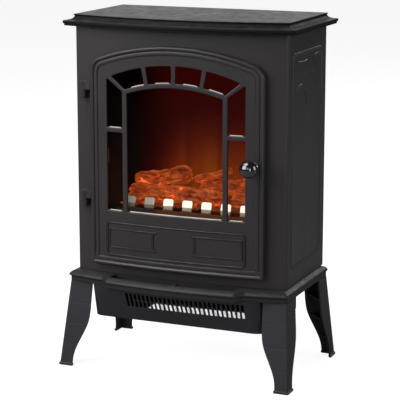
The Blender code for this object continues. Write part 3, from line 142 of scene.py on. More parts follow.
class Graph:
    """The node tree of one finish."""

    def __init__(self, name: str) -> None:
        """Args: name: the material's name."""
        self.material = bpy.data.materials.new(name)
        self.material.use_nodes = True
        self.tree = self.material.node_tree
        self.tree.nodes.clear()
        self.place = self.get("ShaderNodeTexCoord", "Object")

    def node(
        self, kind: str, settings: dict[str, Any] | None = None, inputs: dict | None = None
    ) -> bpy.types.Node:
        """Makes one node.

        Args:
            kind: the node's type.
            settings: its properties, or the stops of a ramp, set first.
            inputs: numbers, colours or Values for its sockets.

        Returns:
            The node.
        """
        made = self.tree.nodes.new(kind)
        for key, value in (settings or {}).items():
            if key == "stops":
                ramp = made.color_ramp.elements
                while len(ramp) < len(value):
                    ramp.new(0.5)
                for element, (position, colour) in zip(ramp, value):
                    element.position = position
                    element.color = (*colour, 1)
            else:
                setattr(made, key, value)
        for key, value in (inputs or {}).items():
            if isinstance(value, Value):
                self.tree.links.new(value.link, made.inputs[key])
            elif isinstance(value, tuple) and made.inputs[key].type == "RGBA":
                made.inputs[key].default_value = (*value, 1)
            else:
                made.inputs[key].default_value = value
        return made

    def get(
        self, kind: str, output: str | int, settings: dict | None = None, inputs: dict | None = None
    ) -> Value:
        """Makes one node and returns one of its outputs as a Value."""
        return Value(self, self.node(kind, settings, inputs).outputs[output])

    def math(self, operation: str, *terms: "Value | float") -> Value:
        """Returns a Math node's result for the terms."""
        return self.get("ShaderNodeMath", 0, {"operation": operation}, dict(enumerate(terms)))

    def stretched(self, scale: Sequence[float]) -> Value:
        """Returns the object's coordinates, scaled along each axis."""
        return self.get("ShaderNodeMapping", 0, None, {"Vector": self.place, "Scale": tuple(scale)})

    def noise(
        self, scale: float, detail: float = 3, stretch: Sequence[float] | None = None
    ) -> Value:
        """Makes a cloud pattern.

        Args:
            scale: how many cells it has in a metre.
            detail: how many finer patterns it adds.
            stretch: scales the pattern along each axis, if given.

        Returns:
            The pattern, from 0 to 1.
        """
        where = self.stretched(stretch) if stretch else self.place
        pattern = {"Vector": where, "Scale": scale, "Detail": detail}
        return self.get("ShaderNodeTexNoise", 0, None, pattern)

    def axis(self, name: str) -> Value:
        """Returns the object's own X, Y or Z."""
        return self.get("ShaderNodeSeparateXYZ", name, None, {0: self.place})

    def facing(self, name: str) -> Value:
        """Returns how far the surface faces along X, Y or Z, from -1 to 1."""
        normal = self.get("ShaderNodeNewGeometry", "Normal")
        return self.get("ShaderNodeSeparateXYZ", name, None, {0: normal})

    def attribute(self, name: str) -> Value:
        """Returns a number that the piece's points carry."""
        return self.get("ShaderNodeAttribute", "Fac", {"attribute_name": name})

    def blend(self, factor: Value | float, first: "Value | Rgb", second: "Value | Rgb") -> Value:
        """Returns a colour between first and second."""
        ends = {0: factor, 6: first, 7: second}
        return self.get("ShaderNodeMix", 2, {"data_type": "RGBA"}, ends)

    def ramp(self, factor: Value, *stops: tuple[float, Rgb]) -> Value:
        """Returns a colour read from a ramp of stops."""
        return self.get("ShaderNodeValToRGB", 0, {"stops": stops}, {0: factor})

    def bump(self, height: Value, distance: float, strength: float = 1.0) -> Value:
        """Returns a normal raised by height, where 1 stands for distance in metres."""
        relief = {"Height": height, "Distance": distance, "Strength": strength}
        return self.get("ShaderNodeBump", 0, None, relief)

    def surface(self, **inputs: Any) -> Value:
        """Returns a Principled shader; an underscore in a keyword stands for a space."""
        named = {key.replace("_", " "): value for key, value in inputs.items()}
        return self.get("ShaderNodeBsdfPrincipled", 0, None, named)

    def output(self, shader: Value) -> bpy.types.Material:
        """Ends the graph with its shader and returns the material."""
        self.node("ShaderNodeOutputMaterial", None, {0: shader})
        return self.material


def times(colour: Rgb, factor: float) -> Rgb:
    """Returns the colour made lighter or darker by a factor."""
    return (colour[0] * factor, colour[1] * factor, colour[2] * factor)


@dataclass(frozen=True)
class Finish:
    """One finish. Its material is made once, the first time that a piece asks for it."""

    name: str

    def shader(self, graph: Graph) -> Value:
        """Builds the finish's shader.

        Args:
            graph: the node tree that it is built in.

        Returns:
            The shader.
        """
        raise NotImplementedError

    def material(self) -> bpy.types.Material:
        """Makes the finish's material, or finds it if it is made already.

        Returns:
            The material.
        """
        known = bpy.data.materials.get(self.name)
        if known:
            return known
        graph = Graph(self.name)
        return graph.output(self.shader(graph))


@dataclass(frozen=True)
class Paint(Finish):
    """Sprayed satin paint: fine orange peel, faint smears, and dust where it faces up.

    On faces that don't look up the paint is darkened as painted shade, and made duller; its side
    factor says how light it stays there, and 1 leaves it unshaded.
    """

    colour: Rgb
    roughness: float = 0.40
    specular: float = 0.30
    relief: float = 0.00007
    dust: float = 0.30
    flank: float = 1.0
    dark: float = 0.82
    light: float = 1.22

    def shader(self, graph: Graph) -> Value:
        """Mottles the colour, darkens faces that don't look up with painted shade, lays dust on
        what faces up and raises the peel.

        Args:
            graph: the node tree that it is built in.

        Returns:
            The shader.
        """
        cloud, smear = graph.noise(6.0), graph.noise(30, 4, (1, 1, 0.4))
        peel, speck = graph.noise(330, 2), graph.noise(1500, 2)
        settled = graph.facing("Z").smooth(0.6, 0.98) * graph.noise(75, 5).smooth(0.38, 0.72)
        tone = cloud * 0.55 + speck * 0.45
        # Painted shade: faces that don't look up take a darker colour, and a rougher surface, by
        # the side factor.
        flat = graph.facing("Z").smooth(0.90, 0.99)
        pale, deep = (
            graph.blend(flat, times(self.colour, share * self.flank), times(self.colour, share))
            for share in (self.light, self.dark)
        )
        paint = graph.blend(tone.smooth(0.25, 0.75), deep, pale)
        dusty = graph.blend(settled * self.dust, paint, (0.13, 0.125, 0.12))
        rough = (smear - 0.5) * 0.16 + (speck - 0.5) * 0.08 + settled * 0.12 + self.roughness
        rough = rough + (1 - flat) * (0.30 * (1 - self.flank))
        normal = graph.bump(peel * 0.65 + speck * 0.35, self.relief)
        return graph.surface(
            Base_Color=dusty, Roughness=rough, Normal=normal, Specular_IOR_Level=self.specular
        )


@dataclass(frozen=True)
class Gloss(Finish):
    """Polished black moulding under a clear coat, with faint wiping marks."""

    colour: Rgb = (0.002, 0.002, 0.0022)
    roughness: float = 0.04

    def shader(self, graph: Graph) -> Value:
        """Clouds the gloss with wiping marks and ripples the coat.

        Args:
            graph: the node tree that it is built in.

        Returns:
            The shader.
        """
        wipe = graph.noise(70, 5, (1, 1, 0.3))
        ripple = graph.noise(120, 1)
        shade = graph.blend(wipe.smooth(0.3, 0.7), self.colour, times(self.colour, 1.8))
        rough = wipe.smooth(0.45, 0.8) * 0.06 + self.roughness
        return graph.surface(
            Base_Color=shade, Roughness=rough, Coat_Weight=1.0, Coat_Roughness=0.02,
            Specular_IOR_Level=0.6, Normal=graph.bump(ripple, 0.00003)
        )


@dataclass(frozen=True)
class Metal(Finish):
    """Plated or rolled metal, with drawn lines along one axis and clouded plating."""

    colour: Rgb
    roughness: float = 0.3
    grain: tuple[float, float, float] = (0.06, 1.0, 1.0)
    tint: Rgb = (0.50, 0.47, 0.40)

    def shader(self, graph: Graph) -> Value:
        """Draws the lines and clouds the plating.

        Args:
            graph: the node tree that it is built in.

        Returns:
            The shader.
        """
        lines, cloud = graph.noise(900, 3, self.grain), graph.noise(65, 4)
        shade = graph.blend(cloud.smooth(0.4, 0.8) * 0.5, self.colour, self.tint)
        rough = (lines - 0.5) * 0.22 + cloud * 0.10 + self.roughness
        drawn = graph.bump(lines, 0.00003)
        return graph.surface(Base_Color=shade, Metallic=1.0, Roughness=rough, Normal=drawn)


@dataclass(frozen=True)
class Plastic(Finish):
    """Moulded plastic with a fine spark-eroded grain."""

    colour: Rgb
    roughness: float = 0.5
    grain: float = 1100

    def shader(self, graph: Graph) -> Value:
        """Clouds the colour and raises the grain.

        Args:
            graph: the node tree that it is built in.

        Returns:
            The shader.
        """
        fine, cloud = graph.noise(self.grain, 3), graph.noise(24, 3)
        dark, light = times(self.colour, 0.85), times(self.colour, 1.15)
        shade = graph.blend(cloud.smooth(0.3, 0.7), dark, light)
        rough = (fine - 0.5) * 0.2 + self.roughness
        return graph.surface(Base_Color=shade, Roughness=rough, Normal=graph.bump(fine, 0.00005))


@dataclass(frozen=True)
class CircuitBoard(Finish):
    """Green lacquered board with paler copper tracks under the lacquer."""

    def shader(self, graph: Graph) -> Value:
        """Lays the tracks under the lacquer.

        Args:
            graph: the node tree that it is built in.

        Returns:
            The shader.
        """
        fine = graph.noise(700, 2)
        tracks = {"Vector": graph.place, "Scale": 260.0, "Mortar Size": 0.03}
        cells = graph.get("ShaderNodeTexBrick", "Fac", None, tracks)
        shade = graph.blend(cells, (0.02, 0.16, 0.06), (0.05, 0.30, 0.11))
        return graph.surface(
            Base_Color=shade, Roughness=fine * 0.2 + 0.25, Coat_Weight=0.4,
            Normal=graph.bump(cells, 0.00005),
        )


@dataclass(frozen=True)
class Mica(Finish):
    """Flaky mica sheet with brighter heating ribbon."""

    def shader(self, graph: Graph) -> Value:
        """Colours and raises each flake.

        Args:
            graph: the node tree that it is built in.

        Returns:
            The shader.
        """
        flake = graph.get("ShaderNodeTexVoronoi", 0, None, {"Vector": graph.place, "Scale": 420.0})
        shade = graph.ramp(
            flake,
            (0.0, (0.62, 0.50, 0.33)),
            (0.5, (0.42, 0.33, 0.21)),
            (1.0, (0.26, 0.19, 0.11)),
        )
        raised = graph.bump(flake, 0.0001)
        return graph.surface(Base_Color=shade, Roughness=flake * 0.3 + 0.3, Normal=raised)


@dataclass(frozen=True)
class Enamel(Finish):
    """Cream enamel, darkened towards its foot with painted shade, and given a painted glow of
    firelight but for the shaded left end.
    """

    foot: float
    head: float
    shade: tuple[float, float] = (-0.060, -0.045)

    def shader(self, graph: Graph) -> Value:
        """Darkens the enamel towards its foot with painted shade, and adds a painted glow of
        firelight where the fire reaches.

        Args:
            graph: the node tree that it is built in.

        Returns:
            The shader.
        """
        blotch = graph.noise(130, 4)
        height = (graph.axis("Z") + (blotch - 0.5) * 0.003).smooth(self.foot, self.head)
        # Painted shade: the base colour darkens from the cream head down to the foot.
        shade = graph.ramp(
            height,
            (0.0, (0.020, 0.008, 0.004)),
            (0.26, (0.030, 0.012, 0.006)),
            (0.32, (0.20, 0.17, 0.12)),
            (0.60, (0.36, 0.32, 0.24)),
            (0.66, (0.88, 0.82, 0.68)),
        )
        # Painted firelight: the grate glows, brightest at its head, though it is no lamp.
        lit = graph.ramp(
            height,
            (0.24, (0.075, 0.018, 0.003)),
            (0.32, (0.10, 0.075, 0.045)),
            (0.60, (0.20, 0.16, 0.10)),
            (0.66, (1.0, 0.90, 0.72)),
        )
        # The painted glow fades out over the shaded left end.
        painted_firelight = graph.blend(graph.axis("X").smooth(*self.shade), (0.012, 0.008, 0.008), lit)
        fine = graph.noise(500, 3)
        return graph.surface(
            Base_Color=shade, Roughness=blotch * 0.3 + 0.3, Normal=graph.bump(fine, 0.00006),
            Emission_Color=painted_firelight, Emission_Strength=1.15,
        )


@dataclass(frozen=True)
class FlameScreen(Finish):
    """Smoked screen lit from behind, with soft streaks.

    It is dark at its head and left, and brown-orange low on its right.
    """

    low: float
    half: float

    def shader(self, graph: Graph) -> Value:
        """Shapes the glow by height and side, and streaks it.

        Args:
            graph: the node tree that it is built in.

        Returns:
            The shader.
        """
        streak = graph.noise(30, 3, (2.2, 1, 0.10))
        tongue = graph.noise(14, 3, (1.3, 1, 0.45))
        share = graph.axis("X") / self.half
        across = share.smooth(-1.05, -0.35)
        dome = (share - 0.20) ** 2 * 0.045
        level = graph.axis("Z") + dome + (tongue - 0.5) * 0.040
        fall = 1 - level.smooth(self.low + 0.02, self.low + 0.145)
        streaks = (streak - 0.5) * 0.46 * across * (fall * 0.8 + 0.2)
        power = (fall * 0.47 + 0.22) * (across * 0.94 + 0.03) + streaks
        glow = graph.ramp(
            power,
            (0.0, (0.0008, 0.0001, 0.0001)),
            (0.22, (0.026, 0.0008, 0.0005)),
            (0.42, (0.070, 0.0055, 0.0012)),
            (0.62, (0.135, 0.019, 0.0015)),
            (0.80, (0.215, 0.044, 0.0025)),
            (1.0, (0.40, 0.110, 0.008)),
        )
        shade = graph.blend(streak, (0.004, 0.001, 0.001), (0.008, 0.002, 0.001))
        return graph.surface(
            Base_Color=shade, Roughness=tongue * 0.1 + 0.5, Specular_IOR_Level=0.05,
            Emission_Color=glow, Emission_Strength=1.5,
        )


@dataclass(frozen=True)
class Embers(Finish):
    """Resin coals, lit from below: bright between the lumps, ashen brown on top."""

    def shader(self, graph: Graph) -> Value:
        """Heats the gaps between the lumps by the glow on their points.

        Args:
            graph: the node tree that it is built in.

        Returns:
            The shader.
        """
        lit = graph.attribute("glow")
        fine, patch = graph.noise(520, 4), graph.noise(34, 3)
        heat = lit * (patch.smooth(0.25, 0.7) * 0.8 + 0.35) + (fine - 0.5) * 0.12
        glow = graph.ramp(
            heat,
            (0.0, (0.030, 0.005, 0.001)),
            (0.35, (0.17, 0.028, 0.004)),
            (0.62, (0.75, 0.10, 0.012)),
            (1.0, (1.0, 0.36, 0.08)),
        )
        shade = graph.blend(fine.smooth(0.3, 0.7), (0.05, 0.016, 0.008), (0.16, 0.06, 0.03))
        return graph.surface(
            Base_Color=shade, Roughness=fine * 0.4 + 0.4, Normal=graph.bump(fine, 0.0003),
            Emission_Color=glow, Emission_Strength=1.6,
        )


@dataclass(frozen=True)
class Bark(Finish):
    """Moulded log: brown bark with pale ridges, cracks that glow, and painted firelight over the
    rest of the bark.
    """

    def shader(self, graph: Graph) -> Value:
        """Colours the bark by its ridges, fires its cracks and lays painted firelight over the
        rest.

        Args:
            graph: the node tree that it is built in.

        Returns:
            The shader.
        """
        lit, ridge = graph.attribute("glow"), graph.attribute("ridge")
        fine, patch = graph.noise(620, 4), graph.noise(30, 3)
        tone = ridge * 0.60 + fine * 0.40
        shade = graph.ramp(
            tone,
            (0.18, (0.012, 0.004, 0.002)),
            (0.45, (0.060, 0.018, 0.007)),
            (0.8, (0.19, 0.060, 0.022)),
        )
        # Painted firelight: the bark between the cracks glows in these browns, brighter on its pale
        # ridges.
        body = graph.ramp(
            tone,
            (0.22, (0.032, 0.003, 0.0005)),
            (0.45, (0.17, 0.019, 0.0025)),
            (0.8, (0.44, 0.092, 0.014)),
        )
        heat = lit * (patch.smooth(0.30, 0.62) * 0.85 + 0.20)
        fire = graph.ramp(
            heat,
            (0.0, (0.30, 0.02, 0.004)),
            (0.5, (1.0, 0.10, 0.012)),
            (1.0, (1.0, 0.36, 0.12)),
        )
        glow = graph.blend(heat.smooth(0.12, 0.50), body, fire)
        return graph.surface(
            Base_Color=shade, Roughness=fine * 0.3 + 0.55, Specular_IOR_Level=0.2,
            Emission_Color=glow, Emission_Strength=1.75,
            Normal=graph.bump(fine, 0.0004),
        )


@dataclass(frozen=True)
class ClearGlass(Finish):
    """Toughened glass: a little smoked, clear face on, with faint smudges."""

    sheen: float = 0.06

    def shader(self, graph: Graph) -> Value:
        """Mixes clear glass with a mirror by the angle, and smudges it.

        Args:
            graph: the node tree that it is built in.

        Returns:
            The shader.
        """
        smudge = graph.noise(16, 5).smooth(0.45, 0.8)
        fresnel = graph.get("ShaderNodeFresnel", 0, None, {"IOR": 1.45})
        mirror = graph.surface(
            Base_Color=(0.92, 0.94, 0.94), Metallic=1.0, Roughness=smudge * 0.12 + 0.02
        )
        clear = graph.get("ShaderNodeBsdfTransparent", 0, None, {0: (0.80, 0.80, 0.80)})
        mixed = {0: fresnel * self.sheen, 1: clear, 2: mirror}
        return graph.get("ShaderNodeMixShader", 0, None, mixed)


@dataclass(frozen=True)
class StudioFloor(Finish):
    """Plain pale floor that is lit from within where the camera sees it, as a light table is."""

    glow: float = 0.90

    def shader(self, graph: Graph) -> Value:
        """Adds the light that only the camera sees to a matt grey.

        Args:
            graph: the node tree that it is built in.

        Returns:
            The shader.
        """
        cloud = graph.noise(1.5, 3)
        seen = graph.get("ShaderNodeLightPath", "Is Camera Ray")
        shade = graph.blend(cloud, (0.22, 0.22, 0.22), (0.24, 0.24, 0.24))
        matt = graph.surface(Base_Color=shade, Roughness=0.9, Specular_IOR_Level=0.0)
        lit = {"Color": (1.0, 1.0, 1.0), "Strength": seen * self.glow}
        light = graph.get("ShaderNodeEmission", 0, None, lit)
        return graph.get("ShaderNodeAddShader", 0, None, {0: matt, 1: light})


# ---------------------------------------------------------------- outlines


def quarter(steps: int) -> list[float]:
    """Returns evenly spaced angles over a quarter turn."""
    return [math.pi / 2 * i / steps for i in range(steps + 1)]


def places(low: float, high: float, count: int) -> list[float]:
    """Returns evenly spaced places between low and high, without the ends."""
    return [low + (high - low) * i / count for i in range(1, count)]


def ease(share: float) -> float:
    """Returns a share held between 0 and 1, with its start and end smoothed."""
    share = min(max(share, 0.0), 1.0)
    return share * share * (3 - 2 * share)


def arc(centre: Point, radius: float, start: float, end: float, steps: int) -> Outline:
    """Lays points along a circle.

    Args:
        centre: the circle's centre.
        radius: its radius.
        start: the first point's angle, in degrees.
        end: the last point's angle.
        steps: how many edges lie between them.

    Returns:
        The points.
    """
    turn = (end - start) / steps
    angles = [math.radians(start + turn * i) for i in range(steps + 1)]
    return [(centre[0] + radius * math.cos(a), centre[1] + radius * math.sin(a)) for a in angles]


def rounded(points: Sequence[Point], radius: float, steps: int = 3, sharp: float = 25.0) -> Outline:
    """Rounds the corners of an outline.

    Args:
        points: the outline.
        radius: the radius of each rounded corner, less where an edge is too short.
        steps: how many edges each rounded corner has.
        sharp: a corner that turns less than this, in degrees, is left alone.

    Returns:
        The rounded outline.
    """
    result: Outline = []
    for i, point in enumerate(points):
        here = Vector(point)
        before, after = Vector(points[i - 1]) - here, Vector(points[(i + 1) % len(points)]) - here
        opening = before.angle(after)
        if math.degrees(math.pi - opening) < sharp:
            result.append(point)
            continue
        reach = min(radius / math.tan(opening / 2), 0.45 * before.length, 0.45 * after.length)
        size = reach * math.tan(opening / 2)
        back, ahead = before.normalized(), after.normalized()
        middle = here + (back + ahead).normalized() * math.hypot(reach, size)
        first = here + back * reach - middle
        last = here + ahead * reach - middle
        start = math.atan2(first.y, first.x)
        sweep = (math.atan2(last.y, last.x) - start + math.pi) % math.tau - math.pi
        turns = [start + sweep * j / steps for j in range(steps + 1)]
        result += [(middle.x + size * math.cos(a), middle.y + size * math.sin(a)) for a in turns]
    return result


def rectangle(
    left: float, right: float, low: float, high: float, corner: float = 0.0, steps: int = 4
) -> Outline:
    """Returns an upright rectangle, its corners rounded if corner is given."""
    points = [(left, low), (right, low), (right, high), (left, high)]
    return rounded(points, corner, steps) if corner else points


def framed(
    box: Sequence[Vector], margin: float, rise: float | None = None, corner: float = 0.0
) -> Outline:
    """Draws the front of a solid's box, larger or smaller.

    Args:
        box: the box's two corners.
        margin: how far the outline stands out at the sides, and above and below too without rise.
        rise: how far it stands out above and below.
        corner: the radius of its corners.

    Returns:
        The outline.
    """
    low, high = box
    rise = margin if rise is None else rise
    return rectangle(low.x - margin, high.x + margin, low.z - rise, high.z + rise, corner)


def arched(
    half: float, low: float, high: float, radius: float, corner: float, steps: int = 28
) -> Outline:
    """Draws an outline with a square foot, upright sides, a segmental arch and rounded shoulders.

    Args:
        half: half its width.
        low: its foot.
        high: the arch's crown.
        radius: the arch's radius.
        corner: the shoulders' radius.
        steps: how many edges the arch has.

    Returns:
        The outline.
    """
    centre = high - radius
    shoulder = centre + math.sqrt((radius - corner) ** 2 - (half - corner) ** 2)
    turn = math.degrees(math.atan2(shoulder - centre, half - corner))
    foot = [(-half, low), (half, low)]
    right = arc((half - corner, shoulder), corner, 0, turn, 8)
    crown = arc((0, centre), radius, turn, 180 - turn, steps)[1:-1]
    return foot + right + crown + arc((corner - half, shoulder), corner, 180 - turn, 180, 8)


def offset(points: Sequence[Point], distance: float) -> Outline:
    """Moves an outline outwards with mitred corners.

    Args:
        points: the outline, in either direction.
        distance: how far it moves; below zero it moves inwards.

    Returns:
        The moved outline, point for point.
    """
    ahead = [*points[1:], points[0]]
    area = sum(a[0] * b[1] - b[0] * a[1] for a, b in zip(points, ahead))
    reach = math.copysign(1.0, area) * distance
    moved: Outline = []
    for i, point in enumerate(points):
        before = Vector(point) - Vector(points[i - 1])
        after = Vector(ahead[i]) - Vector(point)
        first = Vector((before.y, -before.x)).normalized()
        second = Vector((after.y, -after.x)).normalized()
        mitre = (first + second) / max(1 + first.dot(second), 0.3)
        moved.append((point[0] + mitre.x * reach, point[1] + mitre.y * reach))
    return moved


def strip(path: Sequence[Point], widths: Sequence[float]) -> Outline:
    """Draws a tapering strip that follows a path.

    Args:
        path: the strip's middle line.
        widths: its width at each point of the path.

    Returns:
        The strip's outline.
    """
    left: Outline = []
    right: Outline = []
    for i, point in enumerate(path):
        along = Vector(path[min(i + 1, len(path) - 1)]) - Vector(path[max(i - 1, 0)])
        side = Vector((-along.y, along.x)).normalized() * widths[i] / 2
        left.append((point[0] + side.x, point[1] + side.y))
        right.append((point[0] - side.x, point[1] - side.y))
    return right + left[::-1]


def eased(points: Sequence[Point], steps: int) -> Outline:
    """Draws a smooth path through three points.

    Args:
        points: the three points.
        steps: how many edges the path has.

    Returns:
        The path.
    """
    a, b, c = (Vector(p) for p in points)
    middle = b * 2 - (a + c) / 2
    shares = [i / steps for i in range(steps + 1)]
    path = [a * (1 - t) ** 2 + middle * 2 * t * (1 - t) + c * t * t for t in shares]
    return [(p.x, p.y) for p in path]


def round_over(lip: float, low: float, high: float, steps: int = 2) -> list[Step]:
    """Lists the rings up the edge of a plate whose two rims are rounded.

    Args:
        lip: the radius of the rims.
        low: the level of the plate's back.
        high: the level of its face.
        steps: how many edges each rim has.

    Returns:
        Each ring's inset and level.
    """
    turns = quarter(steps)
    head = [(lip * (1 - math.cos(a)), high - lip * (1 - math.sin(a))) for a in turns]
    foot = [(inset, low + high - level) for inset, level in reversed(head)]
    return foot + head


# ---------------------------------------------------------------- shapes


class Plane(Enum):
    """Which way an outline faces once it stands in the stove: forwards, to the right, or up."""

    FRONT = (Vector((0, -1, 0)), Matrix(((1, 0, 0), (0, 0, -1), (0, 1, 0))))
    SIDE = (Vector((1, 0, 0)), Matrix(((0, 0, 1), (1, 0, 0), (0, 1, 0))))
    UP = (Vector((0, 0, 1)), Matrix.Identity(3))

    def at(self, point: Point, level: float) -> Vector:
        """Returns the place of an outline's point at a level along the plane's normal."""
        return self.value[1] @ Vector((point[0], point[1], level))


@dataclass(frozen=True)
class Role:
    """Where a piece belongs: the body it rides on, its slot and the solids it stands for."""

    body: str
    slot: str
    solids: tuple[str, ...] = ()


class Shape:
    """A mesh in the making: rings are drawn out step by step, and flat regions are filled."""

    def __init__(self, plane: Plane = Plane.FRONT) -> None:
        """Args: plane: the plane that its outlines lie in."""
        self.bm = bmesh.new()
        self.plane = plane

    def ring(self, points: Iterable[Vector]) -> Ring:
        """Adds a closed ring.

        Args:
            points: where its points lie.

        Returns:
            The ring.
        """
        verts = [self.bm.verts.new(point) for point in points]
        for first, second in zip(verts, verts[1:] + verts[:1]):
            self.bm.edges.new((first, second))
        return verts

    def edges(self, ring: Ring) -> list[bmesh.types.BMEdge]:
        """Returns the edges of a ring."""
        return [self.bm.edges.get(pair) for pair in zip(ring, ring[1:] + ring[:1])]

    def draw(self, ring: Ring, points: Iterable[Vector]) -> Ring:
        """Draws a ring out to new places.

        Args:
            ring: the ring that is drawn out.
            points: the new places, in the ring's order.

        Returns:
            The new ring, in the same order.
        """
        made = bmesh.ops.extrude_edge_only(self.bm, edges=self.edges(ring))["geom"]
        fresh = {item for item in made if isinstance(item, bmesh.types.BMVert)}
        twins = []
        for vert in ring:
            others = (edge.other_vert(vert) for edge in vert.link_edges)
            twins.append(next(other for other in others if other in fresh))
        for twin, point in zip(twins, points):
            twin.co = point
        return twins

    def sweep(self, sections: Sequence[Iterable[Vector]]) -> tuple[Ring, Ring]:
        """Draws one ring through every section.

        Args:
            sections: the places of the ring's points, station by station.

        Returns:
            The first ring and the last.
        """
        first = ring = self.ring(sections[0])
        for section in sections[1:]:
            ring = self.draw(ring, section)
        return first, ring

    def course(
        self, outline: Callable[[float], Outline], steps: Sequence[Step]
    ) -> tuple[Ring, Ring]:
        """Draws a moulded edge along an outline that is worked out anew for each ring.

        Args:
            outline: gives the outline at an inset.
            steps: each ring's inset, and its level.

        Returns:
            The first ring and the last.
        """
        return self.sweep([[self.plane.at(p, level) for p in outline(i)] for i, level in steps])

    def moulding(self, outline: Outline, steps: Sequence[Step]) -> tuple[Ring, Ring]:
        """Draws a moulded edge.

        Args:
            outline: the outline that the moulding follows.
            steps: each ring's inset from the outline, and its level.

        Returns:
            The first ring and the last.
        """
        return self.course(lambda inset: offset(outline, -inset), steps)

    def fill(self, *rings: Ring) -> None:
        """Fills the flat region inside the first ring and outside the others."""
        edges = [edge for ring in rings for edge in self.edges(ring)]
        bmesh.ops.triangle_fill(self.bm, use_beauty=True, edges=edges, normal=self.plane.value[0])

    def plate(
        self,
        outline: Outline,
        low: float,
        high: float,
        holes: Sequence[Outline] = (),
        lip: float = 0.0004,
    ) -> None:
        """Adds a closed plate with rounded rims.

        Args:
            outline: its edge.
            low: the level of its back.
            high: the level of its face.
            holes: openings through it.
            lip: the radius of its rims.
        """
        outer = round_over(lip, low, high)
        inner = [(-inset, level) for inset, level in outer]
        rims = [self.moulding(outline, outer), *(self.moulding(hole, inner) for hole in holes)]
        self.fill(*[rim[0] for rim in rims])
        self.fill(*[rim[1] for rim in rims])

    def boss(self, outline: Outline, steps: Sequence[Step]) -> None:
        """Adds a closed raised form.

        Args:
            outline: the outline of its foot.
            steps: each ring's inset and level, from its foot to its top.
        """
        first, last = self.moulding(outline, steps)
        self.fill(first)
        self.fill(last)

    def spin(self, profile: Sequence[Point], centre: Vector, axis: Vector, steps: int = 40) -> None:
        """Adds a turned form.

        Args:
            profile: radius and distance along the axis, starting and ending on the axis or closed.
            centre: where the distance is zero.
            axis: the direction of the distance.
            steps: how many sides it has.
        """
        side = axis.orthogonal().normalized()
        verts = [self.bm.verts.new(centre + side * r + axis * d) for r, d in profile]
        edges = [self.bm.edges.new(pair) for pair in zip(verts, verts[1:])]
        bmesh.ops.spin(
            self.bm, geom=[*verts, *edges], cent=centre, axis=axis, dvec=(0, 0, 0), angle=math.tau,
            steps=steps, use_merge=True, use_duplicate=False,
        )

    def everything(self) -> list[Any]:
        """Returns every point, edge and face."""
        return [*self.bm.verts, *self.bm.edges, *self.bm.faces]

    def cut(self, at: Vector, normal: Sequence[float], trim: bool = False) -> None:
        """Cuts the shape along a plane.

        Args:
            at: a point of the plane.
            normal: the plane's normal.
            trim: whether what lies ahead of the plane goes.
        """
        near = 1e-6 if trim else 1e-7
        bmesh.ops.bisect_plane(
            self.bm, geom=self.everything(), dist=near, plane_co=at, plane_no=normal,
            clear_outer=trim,
        )

    def stations(self, spots: Iterable[float], normal: Sequence[float] = (1, 0, 0)) -> None:
        """Cuts the shape at each spot along a normal, so that it can bend there."""
        for spot in spots:
            self.cut(Vector(normal) * spot, normal)

    def repeat(self, step: Vector, count: int, stagger: Vector | None = None) -> None:
        """Repeats the shape in a row.

        Args:
            step: the way from each copy to the next.
            count: how many there are, with the first.
            stagger: moves every second copy aside.
        """
        first = self.everything()
        for i in range(1, count):
            copy = bmesh.ops.duplicate(self.bm, geom=first)["geom"]
            verts = [item for item in copy if isinstance(item, bmesh.types.BMVert)]
            shift = step * i + (stagger or Vector()) * (i % 2)
            bmesh.ops.translate(self.bm, vec=shift, verts=verts)

    def move(self, rule: Callable[[Vector], Vector]) -> None:
        """Moves every point by a rule."""
        for vert in self.bm.verts:
            vert.co = rule(vert.co.copy())

    def finish(self, name: str, finish: Finish, role: Role, bevel: float = 0.0) -> bpy.types.Object:
        """Closes the mesh, shades it, dresses it and gives it its place in the stove.

        Args:
            name: the piece's name.
            finish: its finish.
            role: its body, slot and solids.
            bevel: the width that a Bevel modifier takes off its edges, if any.

        Returns:
            The piece.
        """
        bm = self.bm
        bmesh.ops.remove_doubles(bm, verts=bm.verts, dist=SAME_POINT)
        bmesh.ops.dissolve_degenerate(bm, edges=bm.edges, dist=1e-7)
        bmesh.ops.recalc_face_normals(bm, faces=bm.faces)
        for face in bm.faces:
            face.smooth = True
        for edge in bm.edges:
            edge.smooth = edge.calc_face_angle(0) < SMOOTH_BELOW
        mesh = bpy.data.meshes.new(name)
        bm.to_mesh(mesh)
        bm.free()
        piece = bpy.data.objects.new(name, mesh)
        bpy.context.scene.collection.objects.link(piece)
        mesh.materials.append(finish.material())
        if bevel:
            softened = piece.modifiers.new("Softened edges", "BEVEL")
            softened.width, softened.segments = bevel, 2
            softened.limit_method, softened.angle_limit = "ANGLE", SMOOTH_BELOW
            softened.use_clamp_overlap = True
        piece.modifiers.new("Even shading", "WEIGHTED_NORMAL").keep_sharp = True
        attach(piece, role.body)
        if role.solids:
            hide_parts(*role.solids)
        log.info("%s: %d faces on %s", name, len(mesh.polygons), role.body)
        return piece


def refined(node: str, finish: Finish, slot: str, bevel: float = 0.0003) -> None:
    """Replaces a solid by a smooth copy of itself with softened edges.

    Args:
        node: the solid's name.
        finish: the copy's finish.
        slot: its record slot.
        bevel: how much comes off its edges.
    """
    source = frame["nodes"][node]
    shape = Shape()
    bm = shape.bm
    bm.from_mesh(source.data)
    bmesh.ops.remove_doubles(bm, verts=bm.verts, dist=SAME_POINT)
    bmesh.ops.dissolve_limit(bm, angle_limit=SAME_PLANE, verts=bm.verts, edges=bm.edges)
    shape.finish(f"{node}_finished", finish, Role(source["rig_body"], slot, (node,)), bevel)


@dataclass(frozen=True)
class Bow:
    """The outward curve of the stove's front."""

    half: float
    rise: float

    def depth(self, x: float) -> float:
        """Returns how far the front stands ahead of its corners at x."""
        return self.rise * (1 - (x / self.half) ** 2)

    def slope(self, x: float) -> float:
        """Returns how fast the front falls back at x."""
        return 2 * self.rise * x / self.half**2


# ---------------------------------------------------------------- casing


